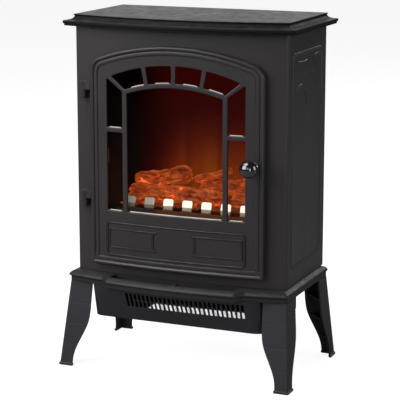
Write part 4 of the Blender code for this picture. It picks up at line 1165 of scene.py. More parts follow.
@dataclass(frozen=True)
class Finishes:
    """The stove's finishes, each named for its slot, and two for marks that have no slot."""

    body: Finish = Paint("body_paint", (0.0190, 0.0165, 0.0172))
    # The top's sides, its lip and cove, are darkened with painted shade.
    top: Finish = Paint(
        "top_paint", (0.0215, 0.0195, 0.0215), roughness=0.33, specular=0.08, dust=0.12, flank=0.22
    )
    # The base's sides are darkened a little with painted shade.
    base: Finish = Paint(
        "base_paint", (0.0180, 0.0160, 0.0165), roughness=0.38, specular=0.22, dust=0.05, flank=0.75
    )
    door: Finish = Paint("door_paint", (0.0180, 0.0156, 0.0163), roughness=0.35, specular=0.34)
    legs: Finish = Paint(
        "leg_paint", (0.0165, 0.0165, 0.0205), roughness=0.44, specular=0.20, relief=0.0001
    )
    liner: Finish = Paint(
        "liner_paint", (0.0060, 0.0050, 0.0050), roughness=0.62, specular=0.20, relief=0.0001
    )
    gloss: Finish = Gloss("gloss_black")
    glass: Finish = ClearGlass("clear_glass")
    steel: Finish = Metal("zinc_plate", (0.55, 0.56, 0.58))
    foil: Finish = Metal("bright_foil", (0.82, 0.82, 0.84), roughness=0.14, tint=(0.70, 0.70, 0.72))
    mesh: Finish = Metal("guard_steel", (0.80, 0.81, 0.84), roughness=0.25, tint=(0.66, 0.66, 0.68))
    nylon: Finish = Plastic("natural_nylon", (0.66, 0.63, 0.54), roughness=0.45)
    # A pale plastic for the painted highlight strips on the panes' sills.
    fibre: Finish = Plastic("gasket_fibre", (0.52, 0.50, 0.47), roughness=0.7, grain=2400)
    ticks: Finish = Plastic("tick_white", (0.75, 0.75, 0.72))
    switch: Finish = Plastic("switch_black", (0.012, 0.012, 0.013), roughness=0.42)
    board: Finish = CircuitBoard("circuit_board")
    element: Finish = Mica("mica_and_ribbon")
    embers: Finish = Embers("lit_coals")
    log: Finish = Bark("lit_bark")


@dataclass
class Casing:
    """The painted body: top, base, folded front sheet, side panels and back cover.

    The top's lip, its cove and the base's edge are given ring by ring, as inset and level. The
    base's front steps forward over its middle, as far as its break.
    """

    finishes: Finishes
    bow: Bow
    front: float
    corner: float = 0.0036
    return_width: float = 0.0040
    top_bow: float = 0.027
    top_corner: float = 0.0035
    top_hollow: float = 0.013
    lip: tuple[Step, ...] = (
        (0.0185, 0.0), (0.0024, 0.0), (0.0020, 0.0004), (0.0020, 0.0026), (0.0016, 0.0031),
        (0.0005, 0.0034), (0.0, 0.0040), (0.0, 0.0070), (0.0004, 0.0076),
    )
    cove_start: Step = (0.0014, 0.0078)
    cove_size: Step = (0.0128, 0.0066)
    top_edge: tuple[Step, ...] = (
        (0.0137, -0.0018), (0.0132, -0.0015), (0.0130, -0.0010), (0.0133, -0.0003), (0.0140, 0.0),
    )
    tab_places: tuple[float, ...] = (-0.131, -0.006, 0.131)
    tab_half: Point = (0.0028, 0.0022)
    tab_inset: float = 0.0052
    tab_corner: float = 0.0012
    base_bow: float = 0.022
    base_corner: float = 0.006
    base_edge: tuple[Step, ...] = (
        (0.0030, 0.0), (0.0025, 0.0005), (0.0025, 0.0056), (0.0031, 0.0064), (0.0030, 0.0071),
        (0.0011, 0.0074), (0.0003, 0.0082), (0.0, 0.0092), (0.0002, 0.0104), (0.0011, 0.0117),
        (0.0022, 0.0127), (0.0040, 0.0139), (0.0062, 0.0150), (0.0080, 0.0157), (0.0094, 0.0160),
    )
    break_half: float = 0.1045
    break_ease: float = 0.0150
    break_step: float = 0.011
    rail: float = 0.0098
    rail_sweep: float = 0.0075
    recess_gap: float = 0.0022
    recess_depth: float = 0.0085
    border: Point = (0.016, 0.027)
    bead: tuple[Step, ...] = (
        (0.0, 0.0), (0.0005, 0.0004), (0.0013, 0.0008), (0.0021, 0.0009), (0.0029, 0.0007),
        (0.0037, 0.0002), (0.0042, 0.0),
    )
    emboss: float = 0.0008
    rib_root: float = 0.0052
    rib_tip: float = 0.0026
    screw: tuple[Point, ...] = (
        (0.0, -0.004), (0.0017, -0.004), (0.0017, 0.0001), (0.0038, 0.0001), (0.0038, 0.0009),
        (0.0031, 0.0017), (0.0016, 0.0021), (0.0014, 0.0012), (0.0, 0.0010),
    )
    screw_inset: Point = (0.0055, 0.020)
    branches: tuple[tuple[Point, Point, Point], ...] = (
        ((-0.0290, 0.4985), (-0.0225, 0.4875), (0.0165, 0.4870)),
        ((0.0380, 0.4930), (0.0475, 0.4850), (0.0690, 0.4640)),
        ((0.0490, 0.4895), (0.0640, 0.4915), (0.0770, 0.4860)),
        ((0.0300, 0.4800), (0.0150, 0.4720), (-0.0040, 0.4610)),
        ((0.0400, 0.4660), (0.0500, 0.4580), (0.0600, 0.4430)),
        ((-0.0060, 0.4510), (-0.0200, 0.4500), (-0.0340, 0.4440)),
        ((0.0060, 0.4440), (0.0140, 0.4330), (0.0160, 0.4190)),
    )

    def inset_top(self, inset: float) -> Outline:
        """Draws the top's outline, whose front edge bows forward.

        Args:
            inset: how far inside its edge it is drawn.

        Returns:
            The outline.
        """
        low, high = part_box("top_plate")
        half, front, rear = high.x - inset, low.y + self.top_bow + inset, high.y - inset
        xs = [half * (i / 16 - 1) for i in range(33)]
        edge = [(x, front - self.top_bow * (1 - (x / half) ** 2)) for x in xs]
        corner = max(self.top_corner - inset, LEAST_CORNER)
        return rounded([*edge, (half, rear), (-half, rear)], corner, 4)

    def inset_base(self, inset: float) -> Outline:
        """Draws the base's outline, which steps forward over its middle.

        Args:
            inset: how far inside its edge it is drawn.

        Returns:
            The outline.
        """
        low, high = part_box("base_plate")
        half, rear = high.x - inset, high.y - inset
        front = low.y + self.base_bow + self.break_step + inset
        wing = [self.break_half + self.break_ease * i / 12 for i in range(13)]
        wing += places(wing[-1], half, 9) + [half]
        middle = [self.break_half * (i / 12 - 1) for i in range(1, 24)]
        points: Outline = []
        for x in [-x for x in reversed(wing)] + middle + wing:
            step = self.break_step * (1 - ease((abs(x) - self.break_half) / self.break_ease))
            points.append((x, front - self.base_bow * (1 - (x / half) ** 2) - step))
        corner = max(self.base_corner - inset, LEAST_CORNER)
        return rounded([*points, (half, rear), (-half, rear)], corner, 4, 45)

    def build(self) -> None:
        """Builds every piece of the casing."""
        self.build_top()
        self.build_bumpers()
        self.build_base()
        self.build_front()
        self.build_sides()
        self.build_back()

    def build_top(self) -> None:
        """Builds the top with its lip, concave cove and flat surface."""
        low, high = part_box("top_plate")
        (inset, level), (width, height) = self.cove_start, self.cove_size
        steps = [(i, low.z + up) for i, up in self.lip]
        for turn in quarter(9):
            rise = height * (1 - math.cos(turn))
            steps.append((inset + width * math.sin(turn), low.z + level + rise))
        steps += [(i, high.z + up) for i, up in self.top_edge]
        shape = Shape(Plane.UP)
        first, last = shape.course(self.inset_top, steps)
        shape.fill(last)
        pocket = shape.draw(first, [vert.co + Vector((0, 0, self.top_hollow)) for vert in first])
        shape.fill(pocket)
        shape.finish("top_surface", self.finishes.top, Role("casing", "top", ("top_plate",)))

    def build_bumpers(self) -> None:
        """Builds the small tabs that show under the top's lip."""
        low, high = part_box("top_plate")
        wide, deep = self.tab_half
        rings = [(0.0006, low.z - 0.0014), (0.0, low.z - 0.0008), (0.0, low.z + 0.0004)]
        shape = Shape(Plane.UP)
        for x in self.tab_places:
            y = low.y + self.top_bow * (x / high.x) ** 2 + self.tab_inset
            tab = rectangle(x - wide, x + wide, y - deep, y + deep, self.tab_corner)
            shape.boss(tab, rings)
        shape.finish("lip_tabs", self.finishes.top, Role("casing", "top"))

    def build_base(self) -> None:
        """Builds the base: its moulded edge, the recess behind its rail and the room under it."""
        low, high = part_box("base_plate")
        deep = high.z - self.recess_depth
        shape = Shape(Plane.UP)
        foot, head = shape.course(self.inset_base, [(i, low.z + up) for i, up in self.base_edge])
        span = self.break_half - 0.001
        xs = [span * (i / 12 - 1) for i in range(25)]
        edge = [(x, low.y + self.rail + self.rail_sweep * (x / span) ** 2) for x in xs]
        edge += [(x, self.front - self.bow.depth(x) - self.recess_gap) for x in reversed(xs)]
        rings = [(-0.0006, high.z), (0.0, high.z - 0.0005), (0.0, deep + 0.001), (0.001, deep)]
        rail, trough = shape.moulding(rounded(edge, 0.003, 3), rings)
        shape.fill(head, rail)
        shape.fill(trough)
        near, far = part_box("outlet_duct")
        room = rectangle(near.x - 0.0003, far.x + 0.0003, near.y + 0.0155, far.y + 0.006)
        mouth, ceiling = shape.moulding(room, [(0.0, low.z), (0.0, deep - 0.0012)])
        shape.fill(foot, mouth)
        shape.fill(ceiling)
        shape.finish("base_moulding", self.finishes.base, Role("casing", "base", ("base_plate",)))
        tab = Shape(Plane.UP)
        y = self.front - self.bow.depth(0)
        outline = rectangle(-0.0030, 0.0030, y - 0.0105, y - 0.0010, self.tab_corner)
        tab.boss(outline, [(0.0, deep - 0.0005), (0.0, high.z - 0.0048), (0.0006, high.z - 0.0042)])
        tab.finish("recess_tab", self.finishes.base, Role("casing", "base"))

    def lean(self) -> float:
        """Returns how far the front sheet has turned by the time it reaches its corner."""
        return math.atan(self.bow.slope(self.bow.half))

    def fold(self, point: Vector) -> Vector:
        """Places a point of the flat front sheet on the bowed front and round its rounded corners.

        Args:
            point: along the sheet in x, its level as -y, and its height.

        Returns:
            The folded point.
        """
        side = math.copysign(1.0, point.x)
        along, level = abs(point.x), -point.y
        lean = self.lean()
        start = self.bow.half - self.corner * (1 - math.sin(lean))
        if along <= start:
            turn = math.atan(self.bow.slope(along))
            x, y = along, self.front - self.bow.depth(along)
        else:
            turn = min(lean + (along - start) / self.corner, math.pi / 2)
            x = start + self.corner * (math.sin(turn) - math.sin(lean))
            y = self.front - self.bow.depth(start) + self.corner * (math.cos(lean) - math.cos(turn))
            y += max(along - start - self.corner * (math.pi / 2 - lean), 0.0)
        return Vector((side * (x + level * math.sin(turn)), y - level * math.cos(turn), point.z))

    def sheet_reach(self) -> tuple[float, float]:
        """Measures the flat sheet.

        Returns:
            Where its rounded corner starts, and where its return ends.
        """
        lean = self.lean()
        start = self.bow.half - self.corner * (1 - math.sin(lean))
        return start, start + self.corner * (math.pi / 2 - lean) + self.return_width

    def build_front(self) -> None:
        """Builds the front sheet with its openings and its folded corners."""
        low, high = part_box("front_panel")
        foot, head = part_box("door_glass")
        window = arched(head.x - 0.0015, foot.z + 0.0005, head.z - 0.0015, 0.285, 0.008)
        controls = framed(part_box("control_panel"), -0.004, corner=0.006)
        slot = framed(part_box("magnet_catch"), 0.0008)
        start, reach = self.sheet_reach()
        shape = Shape(Plane.FRONT)
        shape.plate(rectangle(-reach, reach, low.z, high.z), -SHEET, 0.0, (window, controls, slot))
        bends = [start, *places(start, reach - self.return_width, 6)]
        shape.stations(places(-start, start, 44) + [side * x for side in (-1, 1) for x in bends])
        shape.move(self.fold)
        shape.finish("front_sheet", self.finishes.body, Role("casing", "body", ("front_panel",)))

    def build_sides(self) -> None:
        """Builds the side panels with their raised frames and branching ribs."""
        _, reach = self.sheet_reach()
        near = self.fold(Vector((reach, 0, 0))).y + 0.0005
        for side, name in ((-1, "left"), (1, "right")):
            low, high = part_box(f"{name}_side_panel")
            edge = rectangle(near, high.y, low.z, high.z)
            margin, rise = self.border
            border = rectangle(
                low.y + margin, high.y - margin, low.z + rise, high.z - rise - 0.003, 0.010
            )
            shape = Shape(Plane.SIDE)
            back, face = shape.moulding(edge, round_over(0.0005, -SHEET, 0.0))
            outer, inner = shape.moulding(border, self.bead)
            shape.fill(back)
            shape.fill(face, outer)
            shape.fill(inner)
            widths = [self.rib_root - (self.rib_root - self.rib_tip) * i / 12 for i in range(13)]
            rings = [(0.0, -0.0005), (0.0, 0.0), (0.0005, self.emboss * 0.7), (0.0010, self.emboss)]
            for path in self.branches:
                shape.boss(rounded(strip(eased(path, 12), widths), 0.0012, 3, 45), rings)
            shape.move(lambda p, s=side: Vector((s * (p.x + self.bow.half), p.y, p.z)))
            role = Role("casing", "body", (f"{name}_side_panel",))
            shape.finish(f"{name}_side_sheet", self.finishes.body, role)

    def build_back(self) -> None:
        """Builds the back cover, its screws and the cord's gland."""
        refined("back_cover", self.finishes.body, "body", 0.00025)
        refined("cord_inlet", self.finishes.switch, "switch", 0.0002)
        low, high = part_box("back_cover")
        across, up = self.screw_inset
        shape = Shape()
        for x in (low.x + across, high.x - across):
            for z in (low.z + up, high.z - up):
                shape.spin(self.screw, Vector((x, high.y, z)), Vector((0, 1, 0)), 20)
        shape.finish("back_screws", self.finishes.steel, Role("casing", "steel"))


@dataclass
class Legs:
    """Four splayed legs of bent sheet: a swelling calf, a foot lip and ribs inside the corner.

    A leg swells from its ankle to its calf over the swell's heights, and tapers a little above.
    """

    finishes: Finishes
    ankle: float = 0.0215
    calf: float = 0.0405
    swell: tuple[float, float] = (0.012, 0.080)
    taper_from: float = 0.090
    taper: float = 0.055
    wall: float = 0.003
    edge: float = 0.0024
    lip: float = 0.0013
    splay: float = 0.0110
    front_flare: float = 0.0222
    rear_flare: float = 0.0152
    ribs: int = 3
    rib_wall: float = 0.0018
    sink: float = 0.00011

    def width(self, height: float) -> float:
        """Measures each face of a leg.

        Args:
            height: where it is measured.

        Returns:
            The face's width there.
        """
        low, high = self.swell
        swollen = (self.calf - self.ankle) * ease((height - low) / (high - low))
        return self.ankle + swollen - max(height - self.taper_from, 0) * self.taper

    def section(self, corner: Point, width: float, wall: float) -> Outline:
        """Draws the L of a leg's section, its outer corner and its free edges rounded.

        Args:
            corner: its outer corner.
            width: how far each face reaches from the corner.
            wall: how thick the faces are.

        Returns:
            The section's outline.
        """
        x, y = corner
        points = [(x, y), (x - width, y), (x - width, y - wall)]
        points += [(x - wall, y - wall), (x - wall, y - width), (x, y - width)]
        outer = rounded(points, self.edge, 4)[:5]
        tips = rounded([points[0], *points[1:3], *points[3:]], 0.0007, 2)
        return outer + tips[3:]

    def build(self) -> None:
        """Builds the four legs."""
        for name in ("front_left", "front_right", "rear_left", "rear_right"):
            self.build_leg(name)

    def build_leg(self, name: str) -> None:
        """Builds one leg as the rear right one, and mirrors it into its place.

        Args:
            name: which leg.
        """
        low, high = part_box(f"{name}_leg")
        end, side = name.split("_")
        x_turn, y_turn = (1 if side == "right" else -1), (1 if end == "rear" else -1)
        flare = self.rear_flare if end == "rear" else self.front_flare
        toe = Vector((max(abs(low.x), abs(high.x)), high.y if end == "rear" else -low.y))
        head = Vector((toe.x - self.lip - self.splay, toe.y - self.lip - flare))
        top = high.z
        rib_heights = [top * 0.25 * (i + 1) for i in range(self.ribs)]
        heights = [0.0, 0.0006, 0.0034, 0.0044]
        heights += [0.009 + (top - 0.009) * i / 26 for i in range(27)]
        marks = (-0.0028, -0.0012, 0.0, 0.0012, 0.0028)
        sinks = [level + mark for level in rib_heights for mark in marks]
        shape = Shape(Plane.UP)

        def corner(height: float) -> Point:
            """Returns the place of the leg's outer corner at a height."""
            drop = 1 - height / top
            return (head.x + self.splay * drop, head.y + flare * drop)

        sections = []
        for height in sorted(heights + sinks):
            lip = self.lip * (1.0 if 0.0003 < height < 0.0036 else 0.55 if height < 0.001 else 0.0)
            marked = any(abs(height - level) < 0.0005 for level in rib_heights)
            grow = lip - (self.sink if marked else 0.0)
            x, y = corner(height)
            width = self.width(height) + lip + grow
            outline = self.section((x + grow, y + grow), width, self.wall + lip)
            sections.append([Vector((px, py, height)) for px, py in outline])
        foot, crown = shape.sweep(sections)
        shape.fill(foot)
        shape.fill(crown)
        for level in [*rib_heights, top]:
            thick = self.rib_wall if level < top else self.wall
            x, y = corner(level)
            reach = self.width(level) - 0.003
            web = [(x - 0.001, y - 0.001), (x - reach, y - 0.001), (x - 0.001, y - reach)]
            shape.plate(rounded(web, 0.001, 2), level - thick, level - 0.0001, lip=0.0003)
        shape.move(lambda p: Vector((p.x * x_turn, p.y * y_turn, p.z)))
        role = Role("casing", "legs", (f"{name}_leg",))
        shape.finish(f"{name}_leg_finished", self.finishes.legs, role)


# ---------------------------------------------------------------- door


@dataclass
class Door:
    """The hinged door: arched frame, window bars, raised panel, glass, knob and fittings.

    Its rim, the ridge round its lower panel and the edge of each blank label are given ring by
    ring, as inset and level.
    """

    finishes: Finishes
    bow: Bow
    body_front: float
    thickness: float = 0.008
    gap: float = 0.002
    arch: float = 0.372
    shoulder: float = 0.025
    stile: float = 0.0292
    top_rail: float = 0.0295
    lower_panel: float = 0.087
    window_arch: float = 0.281
    band: float = 0.026
    side_pane: float = 0.027
    bar: float = 0.007
    crossbar_drop: float = 0.099
    rebate: float = 0.0045
    lap: float = 0.006
    pane_lip: float = 0.0013
    pane_corner: float = 0.0014
    row_share: float = 0.575
    label_foot: float = 0.02775
    label_height: float = 0.0325
    label_near: float = 0.028
    label_far: float = 0.0315
    label_bite: float = 0.005
    label_ear: float = 0.0085
    # Width of the pale strips that stand for the painted highlight on each pane's sill.
    gasket: float = 0.0011
    neck: float = 0.0042
    rim: tuple[Step, ...] = (
        (0.0004, -0.0080), (0.0, -0.0076), (0.0, 0.0004), (0.0004, 0.0015), (0.0013, 0.0025),
        (0.0026, 0.0030), (0.0042, 0.0029), (0.0056, 0.0021), (0.0064, 0.0009), (0.0067, 0.0001),
        (0.0074, 0.0001), (0.0078, 0.0011), (0.0088, 0.0015), (0.0118, 0.0015), (0.0128, 0.0011),
        (0.0133, 0.0002), (0.0136, -0.0005), (0.0141, -0.0005), (0.0143, 0.0),
    )
    ridge: tuple[Step, ...] = (
        (0.0, 0.0), (0.0002, -0.0007), (0.0007, -0.0007), (0.0010, 0.0006), (0.0016, 0.0012),
        (0.0024, 0.0012), (0.0030, 0.0006), (0.0033, -0.0006), (0.0037, -0.0006), (0.0039, 0.0),
    )
    label: tuple[Step, ...] = (
        (0.0, 0.0), (0.0002, -0.0006), (0.0006, -0.0006), (0.0009, 0.0007), (0.0014, 0.0012),
        (0.0022, 0.0012), (0.0026, 0.0005), (0.0029, -0.0002), (0.0033, -0.0002), (0.0036, 0.0003),
    )
    collar: tuple[Point, ...] = (
        (0.0, 0.0), (0.0066, 0.0), (0.0068, 0.0004), (0.0066, 0.0012), (0.0052, 0.0018),
        (0.0045, 0.0028),
    )

    def __post_init__(self) -> None:
        """Takes the door's overall sizes from its solid."""
        low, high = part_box("door_frame")
        self.half, self.low, self.high = high.x, low.z, high.z
        self.face = self.body_front - self.gap - self.thickness
        self.pane_half = self.half - self.stile
        self.pane_low = self.low + self.lower_panel
        self.pane_high = self.high - self.top_rail
        self.arch_centre = self.pane_high - self.window_arch
        self.inner_arch = self.window_arch - self.band
        self.side_left = self.pane_half - self.side_pane
        self.main_half = self.side_left - self.bar - 0.001
        self.cross = self.pane_high - self.crossbar_drop
        self.rear, self.seat = -self.thickness, self.rebate - self.thickness

    def panes(self) -> list[Outline]:
        """Draws every opening of the frame.

        Returns:
            The main window, then the row of four over it and the two down each side.
        """
        middle, outer, inner = (0.0, self.arch_centre), self.window_arch, self.inner_arch
        half, left, right = self.main_half, self.side_left, self.pane_half
        turn = math.degrees(math.acos(half / (inner - self.bar)))
        main = [(-half, self.pane_low), (half, self.pane_low)]
        main += arc(middle, inner - self.bar, turn, 180 - turn, 20)
        bar_turn = math.degrees(self.bar / (outer + inner))
        spread = math.degrees((left - self.bar / 2) * self.row_share / (outer - self.band / 2))
        end_out = math.degrees(math.asin((right - 0.0078) / outer))
        end_in = math.degrees(math.asin((half + 0.0035) / inner))
        first = arc(middle, inner, 90 - spread + bar_turn, 90 - bar_turn, 6)
        first += arc(middle, outer, 90 - bar_turn, 90 - spread + bar_turn, 6)
        second = arc(middle, inner, 90 - end_in, 90 - spread - bar_turn, 6)
        second += arc(middle, outer, 90 - spread - bar_turn, 90 - end_out, 6)
        head_out = self.arch_centre + math.sqrt(outer**2 - right**2) + 0.0005
        upper = [(left, self.cross), (right, self.cross)]
        upper += [(right, head_out), (left, head_out - 0.0195)]
        lower = rectangle(left, right, self.pane_low, self.cross - self.bar)
        corner = self.pane_corner
        halves = [rounded(pane, corner, 2) for pane in (first, second, upper, lower)]
        mirrored = [[(-x, z) for x, z in pane] for pane in halves]
        return [rounded(main, corner, 2), *halves, *mirrored]

    def tablet(self, side: int) -> Outline:
        """Draws a blank raised label whose inner end is waisted between its corners.

        Args:
            side: 1 on the right, -1 on the left.

        Returns:
            The label's outline.
        """
        low, near, far = self.low + self.label_foot, self.label_near, self.half - self.label_far
        high, bite, ear = low + self.label_height, self.label_bite, self.label_ear
        waist = arc((near, high - ear), bite, 90, 0, 5) + arc((near, low + ear), bite, 0, -90, 5)
        points = [(far, low), (far, high), (near, high), *waist, (near, low)]
        return rounded([(side * x, z) for x, z in points], 0.0012, 2, 60)

    def bend(self, shape: Shape) -> None:
        """Bends a flat shape to the door's bow."""
        shape.stations(places(-self.half, self.half, 40))
        shape.move(lambda p: Vector((p.x, p.y + self.face - self.bow.depth(p.x), p.z)))

    def opening(self) -> Outline:
        """Returns the edge of the glass's rebate."""
        low, high = self.pane_low - self.lap, self.pane_high + self.lap
        return arched(self.pane_half + self.lap, low, high, self.window_arch, 0.012, 24)

    def build(self) -> None:
        """Builds the door and its fittings."""
        self.build_frame()
        # The pale strips at the panes' feet are painted highlights.
        self.build_glass()
        self.build_gaskets()
        self.build_knob()
        for node in ("upper_hinge_arm", "lower_hinge_arm"):
            refined(node, self.finishes.door, "door", 0.0006)
        for node in ("left_glass_clip", "right_glass_clip", "strike_plate", "knob_screw"):
            refined(node, self.finishes.steel, "steel", 0.00015)

    def build_frame(self) -> None:
        """Builds the frame as one closed mesh."""
        shape = Shape(Plane.FRONT)
        outline = arched(self.half, self.low, self.high, self.arch, self.shoulder, 44)
        outline = rounded(outline, 0.0015, 3, 60)
        back, face = shape.moulding(outline, self.rim)
        lip, seat, rear = self.pane_lip, self.seat, self.rear
        throat = [(-lip * (1 - math.sin(a)), -lip * (1 - math.cos(a))) for a in quarter(4)]
        panes = [shape.moulding(pane, [*throat, (0.0, seat)]) for pane in self.panes()]
        half, foot, head = self.half - 0.0265, self.low + 0.0155, self.pane_low - 0.017
        loop = rectangle(-half, half, foot, head, 0.0085, 5)
        loop_foot, loop_inner = shape.moulding(loop, self.ridge)
        labels = [shape.moulding(self.tablet(side), self.label) for side in (-1, 1)]
        shape.fill(face, loop_foot, *[pane[0] for pane in panes])
        shape.fill(loop_inner, *[label[0] for label in labels])
        for label in labels:
            shape.fill(label[1])
        step, ledge = shape.moulding(self.opening(), [(0.0, rear), (0.0, seat)])
        shape.fill(ledge, *[pane[1] for pane in panes])
        low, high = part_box("knob_screw")
        at = ((low.x + high.x) / 2, (low.z + high.z) / 2)
        sink = shape.moulding(arc(at, 0.0044, 0, 345, 23), [(0.0, rear), (0.0, rear + 0.0022)])
        plate = framed(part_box("strike_plate"), 0.0005, 0.001)
        pocket = shape.moulding(plate, [(0.0, rear), (0.0, rear + 0.0015)])
        shape.fill(back, step, sink[0], pocket[0])
        shape.fill(sink[1])
        shape.fill(pocket[1])
        self.bend(shape)
        shape.finish("door_casting", self.finishes.door, Role("door", "door", ("door_frame",)))

    def build_glass(self) -> None:
        """Builds the curved pane."""
        shape = Shape(Plane.FRONT)
        face = self.seat - 0.0003
        shape.plate(offset(self.opening(), -0.0006), face - 0.003, face, lip=0.0003)
        self.bend(shape)
        shape.finish("door_pane", self.finishes.glass, Role("door", "glass", ("door_glass",)))

    def build_gaskets(self) -> None:
        """Builds pale strips along the foot of each pane, ahead of the glass, that stand for the
        painted highlight along each sill.
        """
        shape = Shape(Plane.FRONT)
        seat, above = self.seat, 0.0006
        main, foot = self.main_half, self.pane_low + above
        feet = [[(0.004 - main, foot), (main - 0.002, foot)]]
        for turn in (75.6, 84.9, 95.1, 104.4):
            middle, radius = (0.0, self.arch_centre), self.inner_arch + above
            feet.append(arc(middle, radius, turn - 3.3, turn + 1.6, 6))
        for side in (-1, 1):
            ends = sorted((side * (self.side_left + 0.003), side * (self.pane_half - 0.004)))
            feet += [[(x, level + above) for x in ends] for level in (self.pane_low, self.cross)]
        rings = [(0.0, seat - 0.0001), (0.0, seat + 0.0012), (0.0002, seat + 0.0014)]
        for path in feet:
            shape.boss(strip(path, [self.gasket] * len(path)), rings)
        self.bend(shape)
        shape.finish("pane_gaskets", self.finishes.fibre, Role("door", "nylon"))

    def build_knob(self) -> None:
        """Builds the polished ball knob on its collar."""
        low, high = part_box("door_knob")
        radius = (high.z - low.z) / 2
        centre = Vector(((low.x + high.x) / 2, low.y + radius, (low.z + high.z) / 2))
        back = self.face - self.bow.depth(centre.x - self.neck) - 0.0003 - centre.y
        start = math.asin(self.neck / radius)
        turns = [start + (math.pi - start) * i / 30 for i in range(30)]
        ball = [(radius * math.sin(a), -radius * math.cos(a)) for a in turns]
        collar = [(reach, height - back) for reach, height in self.collar]
        shape = Shape()
        profile = [*collar, *ball, (0.0, radius)]
        shape.spin(profile, centre, Vector((0, -1, 0)), 56)
        shape.finish("door_ball_knob", self.finishes.gloss, Role("door", "gloss", ("door_knob",)))


# ---------------------------------------------------------------- outlet


@dataclass
class Outlet:
    """The warm-air outlet under the base: its leaning grille, the duct and the guard."""

    finishes: Finishes
    lean: float = 0.027
    lean_end: float = 0.012
    thickness: float = 0.0022
    roll: float = 0.012
    slots: int = 27
    undivided: int = 2
    pitch: float = 0.0073
    slot_width: float = 0.0044
    slot_height: float = 0.023
    slot_shift: float = 0.019
    slot_rise: float = 0.0090
    slot_bar: float = 0.0006
    joint: float = 0.0004
    cell: float = 0.0033
    wire: float = 0.00026
    wire_thickness: float = 0.0003

    def __post_init__(self) -> None:
        """Takes the outlet's overall sizes from its solids."""
        low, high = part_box("outlet_grille")
        self.half, self.low, self.high = high.x, low.z, high.z
        self.foot = high.y - self.thickness

    def front(self, x: float, z: float) -> float:
        """Finds the face of the grille, which leans forward and rolls back at its ends.

        Args:
            x: how far across it.
            z: the height.

        Returns:
            The face's y there.
        """
        lean = self.lean_end + (self.lean - self.lean_end) * (1 - (x / self.half) ** 2)
        rolled = max(abs(x) - self.half + self.roll, 0.0) ** 2 / (2.4 * self.roll)
        return self.foot - lean * (z - self.low) / (self.high - self.low) + rolled

    def inside(self, x: float, z: float) -> float:
        """Returns the y of the duct's front edge, just behind the grille."""
        return self.front(x, z) + self.thickness + self.joint

    def build(self) -> None:
        """Builds the three pieces."""
        self.build_grille()
        self.build_duct()
        self.build_guard()

    def build_grille(self) -> None:
        """Builds the grille, its slots divided by a thin bar except the first two."""
        centre = (self.low + self.high) / 2 + self.slot_rise
        low, high, bar = centre - self.slot_height / 2, centre + self.slot_height / 2, self.slot_bar
        holes: list[Outline] = []
        for i in range(self.slots):
            x = self.slot_shift + (i - (self.slots - 1) / 2) * self.pitch
            parts = [(low, centre - bar), (centre + bar, high)]
            if i < self.undivided:
                parts = [(low, high)]
            left, right = x - self.slot_width / 2, x + self.slot_width / 2
            holes += [rectangle(left, right, bottom, top, 0.0010, 2) for bottom, top in parts]
        shape = Shape(Plane.FRONT)
        sheet = rectangle(-self.half, self.half, self.low, self.high)
        shape.plate(sheet, -self.thickness, 0.0, holes)
        shape.stations(places(-self.half, self.half, 36))
        shape.stations(places(self.low, self.high, 3), (0, 0, 1))
        shape.move(lambda p: Vector((p.x, p.y + self.front(p.x, p.z), p.z)))
        shape.finish("outlet_front", self.finishes.legs, Role("casing", "legs", ("outlet_grille",)))

    def build_duct(self) -> None:
        """Builds the duct's cheeks, rear wall and floor with its opening."""
        _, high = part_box("outlet_duct")
        half, rear, skin = self.half, high.y, SHEET
        cheek = [(self.inside(half, self.low), self.low), (rear, self.low)]
        cheek += [(rear, self.high), (self.inside(half, self.high), self.high)]
        shape = Shape(Plane.SIDE)
        shape.plate(cheek, half - skin, half, lip=0.0003)
        shape.plate(cheek, -half, skin - half, lip=0.0003)
        shape.plane = Plane.FRONT
        wall = rectangle(skin - half - 0.0002, half - skin + 0.0002, self.low, self.high)
        shape.plate(wall, -rear, skin - rear, lip=0.0003)
        shape.plane = Plane.UP
        xs = [(half - skin) * (i / 10 - 1) for i in range(21)]
        floor = [(x, self.inside(x, self.low)) for x in xs]
        floor += [(half - skin, rear - skin), (skin - half, rear - skin)]
        shape.plate(floor, self.low, self.low + skin, [self.guard_hole()], 0.0003)
        shape.finish("air_duct", self.finishes.liner, Role("casing", "liner", ("outlet_duct",)))

    def guard_hole(self) -> Outline:
        """Returns the opening in the duct's floor that the guard covers."""
        low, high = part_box("bottom_guard")
        return rectangle(low.x + 0.005, high.x - 0.005, low.y + 0.004, high.y - 0.004, 0.004)

    def build_guard(self) -> None:
        """Builds the guard from one cell of honeycomb, repeated and trimmed."""
        low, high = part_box("bottom_guard")
        shape = Shape(Plane.UP)
        bm = shape.bm
        bmesh.ops.create_circle(bm, cap_ends=True, segments=6, radius=self.cell)
        bmesh.ops.inset_region(
            bm, faces=bm.faces[:], thickness=self.wire, use_boundary=True, use_even_offset=True
        )
        gaps = [face for face in bm.faces if len(face.verts) == 6]
        bmesh.ops.delete(bm, geom=gaps, context="FACES_ONLY")
        across, along = self.cell * math.sqrt(3), self.cell * 1.5
        columns, rows = int((high.x - low.x) / across) + 2, int((high.y - low.y) / along) + 2
        shape.repeat(Vector((across, 0, 0)), columns)
        shape.repeat(Vector((0, along, 0)), rows, Vector((across / 2, 0, 0)))
        log.info("honeycomb: %d rows of %d cells", rows, columns)
        level = self.low + SHEET + 0.0006
        bmesh.ops.translate(bm, vec=(low.x - across / 2, low.y, level), verts=bm.verts)
        bmesh.ops.remove_doubles(bm, verts=bm.verts, dist=1e-5)
        for at, side in ((low, -1), (high, 1)):
            for normal in ((side, 0, 0), (0, side, 0)):
                shape.cut(at, normal, trim=True)
        role = Role("casing", "mesh", ("bottom_guard",))
        piece = shape.finish("honeycomb_guard", self.finishes.mesh, role)
        solid = piece.modifiers.new("Wire thickness", "SOLIDIFY")
        solid.thickness, solid.offset = self.wire_thickness, 0.0


# ---------------------------------------------------------------- fire


